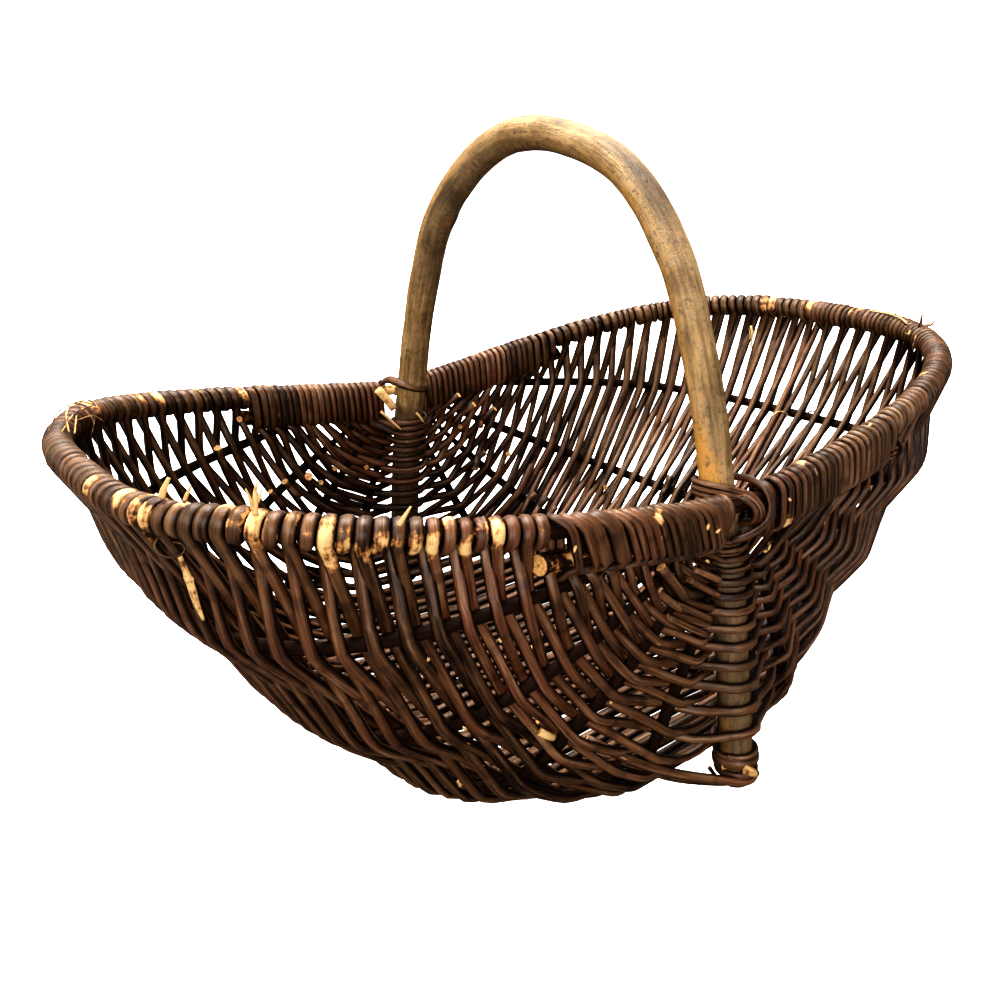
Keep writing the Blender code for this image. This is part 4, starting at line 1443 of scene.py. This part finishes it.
class BASKET_OT_handle(bpy.types.Operator):
    """Makes the bent handle rod with its knots, folds and rounded feet"""

    bl_idname = "basket.handle"
    bl_label = "Handle"

    def execute(self, context):
        shape = context.scene.basket_shape
        low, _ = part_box("handle_hoop")
        line = RodPath(handle_points(12))
        knots = []
        for i in range(HANDLE_STEPS + 1):
            distance = line.length * i / HANDLE_STEPS
            place = line.at(distance)
            radius = handle_radius(shape, place)
            knots.append(Knot(place, (1, 0, 0), 2 * radius, 2 * radius))
        knots = rounded_foot(knots, low.z)[::-1]
        knots = rounded_foot(knots, low.z)[::-1]
        bm, slots, runs = rod_mesh(knots, HANDLE_SIDES, ("ochre", "dark", "crease"))
        tone, ochre, dark, crease = (
            bm.verts.layers.float[name] for name in ("tone", "ochre", "dark", "crease"))
        front_left = Vector(FRONT_LEFT).normalized()
        under = (front_left - UP).normalized()
        for vert in bm.verts:
            run, angle = runs[vert], 2 * math.pi * slots[vert] / HANDLE_SIDES
            centre = line.at(run)
            radius = handle_radius(shape, centre)
            bend = smooth_share((centre.z - 230 * MM) / (70 * MM))
            vert[tone] = 0.4
            vert[ochre] = mark_share(HANDLE_OCHRE, run, angle, radius)
            # The leg below the rim is painted darker, as painted shade where the weave covers it
            leg_shade = LEG_SHADE * smooth_share((shape.rim_dip_height - centre.z) / (15 * MM))
            vert[dark] = max(leg_shade, mark_share(HANDLE_DARK, run, angle, radius))
            away = vert.co - centre
            if away.length < 0.5 * radius:
                continue
            normal = away.normalized()
            # Painted shade: a dark strip on the side facing front left, and a darker upper side against the
            # strong light from above
            facing = normal.dot(front_left)
            bare = smooth_share((centre.z - shape.rim_dip_height) / (20 * MM))
            strip = smooth_share((facing - 0.5) / 0.4) * (0.75 + 0.8 * noise.noise(centre * 22))
            shaded = bare * (HANDLE_STRIP_SHADE * strip + HANDLE_UPPER_SHADE * max(0.0, normal.z) ** 1.5)
            vert[dark] = max(vert[dark], shaded)
            # Painted highlight: the flanks beside the front left strip are made more ochre, standing for rim
            # light
            flank = max(0.25, bare) * (1 - smooth_share((facing - 0.1) / 0.5))
            vert[ochre] = max(vert[ochre], HANDLE_FLANK_HIGHLIGHT * flank)
            # crease marks the underside of the bend, whose folds the finish paints dark as shade in them
            vert[crease] = bend * smooth_share((normal.dot(under) - 0.35) / 0.35)
            vert.co += away * handle_swell(vert.co, run, angle, radius)
        finish_piece("handle_rod", bm, "handle_bark", ("handle_hoop",), ends="handle_bark")
        return {"FINISHED"}


def rounded_foot(knots, bottom):
    """Replaces the first knots by rings that draw in towards a rounded end."""
    first = knots[0]
    way = (knots[1].place - first.place).normalized()
    start = first.place + way * ((bottom - first.place.z) / way.z)
    ahead = [knot for knot in knots if (knot.place - start).dot(way) > FOOT_LENGTH]
    rings = []
    for rise, share in FOOT_RINGS:
        ring = first.moved(start + way * rise * MM)
        ring.width *= share
        ring.depth *= share
        rings.append(ring)
    return rings + ahead


class BASKET_OT_lashings(bpy.types.Operator):
    """Binds the handle to the rim at both crossings"""

    bl_idname = "basket.lashings"
    bl_label = "Lashings"

    def execute(self, context):
        near = []
        for shift, ahead in ((1.8, 2.4), (-1.4, 0), (-4.2, -2.2)):
            near.append(([
                (-4, -145, 172 + shift), (-9, -148.5, 172.6 + shift), (-11, -156, 173.4 + shift),
                (-9.5, -163, 173.4 + shift), (-5, -167.9, 172.2 + shift), (0.4, -170.2, 170.6 + shift * 0.7),
                (3.6 + ahead, -173.8, 169.2 + shift * 0.3), (5.6 + ahead, -178.4, 165.4),
                (6.2 + ahead, -180.2, 160.6), (5.6 + ahead, -177.6, 156.4), (5 + ahead, -171, 154.5),
            ], (1, -162, 165), 3.5, 3.0))
        near.append(([
            (2, -143.5, 167), (8, -145.5, 169), (13.5, -150, 171.4), (16, -158, 173), (16.5, -166, 173),
            (16, -174, 171.2), (14.8, -179.4, 166.5), (13.5, -181.4, 161), (10, -182, 156),
            (3, -182, 153), (-5, -181.5, 151.5), (-10, -177, 149.5),
        ], (4, -168, 163), 4.4, 3.6))
        lashing_piece("near_lashing", near, ("near_lashing_falling", "near_lashing_rising"))
        far = [([
            (-13.5, 171, 172), (-12.6, 164, 174.8), (-11, 155, 174.4), (-8, 147.2, 172.6),
            (-2, 144.2, 170.4), (4.5, 144.8, 168.8), (10.5, 149, 168.6), (13.2, 155, 169.4),
            (14.6, 162, 170.8), (15.5, 169, 171.6), (16, 176, 168), (14, 179, 162), (8, 177, 158),
            (0, 178.5, 160), (-8, 178, 164), (-13, 176, 169), (-13.5, 170.5, 171),
        ], (1, 160, 166), 6.2, 3.0), ([
            (14, 164, 158), (14.6, 158, 163), (14.4, 156, 169), (15.4, 163, 172.4), (16.4, 171, 173),
            (16.6, 177.4, 169.6), (16, 179, 163), (14.6, 174, 157),
        ], (1, 160, 166), 4.2, 3.0)]
        lashing_piece("far_lashing", far, ("far_lashing_rising", "far_lashing_falling"))
        return {"FINISHED"}


class BASKET_OT_foot_bindings(bpy.types.Operator):
    """Winds the last weaver round each leg above its foot"""

    bl_idname = "basket.foot_bindings"
    bl_label = "Foot bindings"

    def execute(self, context):
        shape = context.scene.basket_shape
        for side_y, name in ((-1, "near_foot_binding"), (1, "far_foot_binding")):
            leg = leg_points(shape, side_y)
            strands = []
            for heights, width, depth, turn in FOOT_TURNS:
                middle = leg_point(leg, heights[0] * MM)
                centre = (middle.x / MM, middle.y / MM)
                radius = handle_radius(shape, middle) / MM + depth / 2 + 0.2
                points = ring_points(centre, radius, heights, turn, turn + 400)
                strands.append((points, (*centre, heights[0]), width, depth))
            lashing_piece(name + "_turns", strands, (name,))
        return {"FINISHED"}


class BASKET_OT_loose_ends(bpy.types.Operator):
    """Adds the splinters, fibres, cut butts and chips that the weaving left"""

    bl_idname = "basket.loose_ends"
    bl_label = "Loose ends"

    def execute(self, context):
        chance = random.Random(SEEDS["loose_ends"])
        bm = bmesh.new()
        for width, depth, peel, left, points in LOOSE_ENDS:
            knots = []
            for i, point in enumerate(points):
                size = MM * (1 - (1 - left) * (i / (len(points) - 1)) ** 2)
                knots.append(Knot(Vector(point) * MM, FRONT_LEFT, width * size, depth * size, peel=peel))
            add_rod(bm, smooth_knots(knots, 4), THIN_SIDES, chance.random())
        for x, y, z, width in INNER_ENDS:
            place = Vector((x, y, z)) * MM
            way = Vector(FRONT_LEFT) + Vector((chance.uniform(-0.3, 0.3), 0, chance.uniform(-0.3, 0.3)))
            start, end = place - way * 7 * MM, place + way * 4 * MM
            size = width * MM
            add_rod(bm, [Knot(start, UP, size, size), Knot(end, UP, size, size)], 10, chance.random())
        for point in CHIPS:
            place = Vector(point) * MM
            way = Vector((chance.uniform(-1, 1), 0, chance.uniform(-1, 1))).normalized()
            knots = []
            for reach, share in ((-1.0, 0.3), (-0.4, 0.9), (0.4, 1.0), (1.0, 0.3)):
                size = share * chance.uniform(1.4, 2.2) * MM
                knots.append(Knot(place + way * reach * 1.8 * MM, FRONT_LEFT, size, size, peel=1))
            add_rod(bm, knots, THIN_SIDES, chance.random())
        finish_piece("loose_ends", bm, "weaver_bark")
        return {"FINISHED"}


def studio_world():
    """White all round to the eye; as light, bright from behind the basket and dim from its front."""
    world = bpy.data.worlds.new("studio")
    world.use_nodes = True
    tree = world.node_tree
    shown = tree.nodes["Background"]
    shown.inputs["Color"].default_value = (1, 1, 1, 1)
    shown.inputs["Strength"].default_value = 1.05
    way = add_node(tree, "ShaderNodeTexCoord").outputs["Generated"]
    facing = add_node(tree, "ShaderNodeVectorMath", {"operation": "DOT_PRODUCT"})
    facing.inputs[1].default_value = STUDIO_BACK
    tree.links.new(way, facing.inputs[0])
    share = add_range(tree, facing.outputs["Value"], -0.35, 0.75)
    cast = tree.nodes.new("ShaderNodeBackground")
    strength = total(tree, scaled(tree, share, STUDIO_BRIGHT), STUDIO_DIM)
    tree.links.new(strength, cast.inputs["Strength"])
    chooser = tree.nodes.new("ShaderNodeMixShader")
    seen = tree.nodes.new("ShaderNodeLightPath")
    tree.links.new(seen.outputs["Is Camera Ray"], chooser.inputs["Fac"])
    tree.links.new(cast.outputs[0], chooser.inputs[1])
    tree.links.new(shown.outputs[0], chooser.inputs[2])
    tree.links.new(chooser.outputs[0], tree.nodes["World Output"].inputs["Surface"])
    return world


def aim(obj, target):
    obj.rotation_euler = (Vector(target) - obj.location).to_track_quat("-Z", "Y").to_euler()


def camera_turn():
    """The camera's rotation from its yaw, pitch and roll."""
    level = math.cos(CAMERA_PITCH)
    forward = Vector((
        math.sin(CAMERA_YAW) * level, math.cos(CAMERA_YAW) * level, -math.sin(CAMERA_PITCH)))
    level_right = Vector((math.cos(CAMERA_YAW), -math.sin(CAMERA_YAW), 0))
    level_up = level_right.cross(forward)
    right = level_right * math.cos(CAMERA_ROLL) + level_up * math.sin(CAMERA_ROLL)
    up = level_up * math.cos(CAMERA_ROLL) - level_right * math.sin(CAMERA_ROLL)
    return Matrix((right, up, -forward)).transposed().to_4x4()


class BASKET_OT_stage(bpy.types.Operator):
    """Sets the floor, the studio light and the camera"""

    bl_idname = "basket.stage"
    bl_label = "Stage"

    def execute(self, context):
        scene = context.scene
        bpy.ops.mesh.primitive_plane_add(size=60)
        floor = context.object
        floor.name = "floor"
        floor.data.materials.append(floor_material())
        scene.world = studio_world()
        scene.view_settings.view_transform = "Standard"
        scene.view_settings.look = "Very High Contrast"
        for name, place, size, energy in SOFTBOXES:
            light = bpy.data.lights.new(name, "AREA")
            light.energy = energy
            light.size = size
            lamp = bpy.data.objects.new(name, light)
            scene.collection.objects.link(lamp)
            lamp.location = place
            aim(lamp, (0, 0, 0.1))
        data = bpy.data.cameras.new("camera")
        data.sensor_width = 36
        data.lens = CAMERA_LENS
        camera = bpy.data.objects.new("camera", data)
        scene.collection.objects.link(camera)
        camera.matrix_world = camera_turn()
        camera.location = CAMERA_PLACE
        scene.camera = camera
        return {"FINISHED"}


STEPS = ("ribs", "rim", "fillers", "weave", "handle", "lashings", "foot_bindings", "loose_ends", "stage")


class BASKET_PT_steps(bpy.types.Panel):
    """Lists the basket's settings and the steps that make it"""

    bl_idname = "BASKET_PT_steps"
    bl_label = "Willow Frame Basket"
    bl_space_type = "VIEW_3D"
    bl_region_type = "UI"
    bl_category = "Basket"

    def draw(self, context):
        layout = self.layout
        for settings in (context.scene.basket_shape, context.scene.basket_weave, context.scene.basket_finish):
            box = layout.box()
            for name in settings.bl_rna.properties.keys():
                if name not in ("rna_type", "name"):
                    box.prop(settings, name)
        for step in STEPS:
            layout.operator("basket." + step)


CLASSES = (
    BasketShape, BasketWeave, BasketFinish, BASKET_OT_ribs, BASKET_OT_rim, BASKET_OT_fillers,
    BASKET_OT_weave, BASKET_OT_handle, BASKET_OT_lashings, BASKET_OT_foot_bindings,
    BASKET_OT_loose_ends, BASKET_OT_stage, BASKET_PT_steps,
)


def register():
    for item in CLASSES:
        bpy.utils.register_class(item)
    bpy.types.Scene.basket_shape = PointerProperty(type=BasketShape)
    bpy.types.Scene.basket_weave = PointerProperty(type=BasketWeave)
    bpy.types.Scene.basket_finish = PointerProperty(type=BasketFinish)


def unregister():
    del bpy.types.Scene.basket_shape
    del bpy.types.Scene.basket_weave
    del bpy.types.Scene.basket_finish
    for item in reversed(CLASSES):
        bpy.utils.unregister_class(item)


def main():
    register()
    bpy.ops.basket.ribs()
    bpy.ops.basket.rim()
    bpy.ops.basket.fillers()
    bpy.ops.basket.weave()
    bpy.ops.basket.handle()
    bpy.ops.basket.lashings()
    bpy.ops.basket.foot_bindings()
    bpy.ops.basket.loose_ends()
    bpy.ops.basket.stage()


if __name__ == "__main__":
    main()
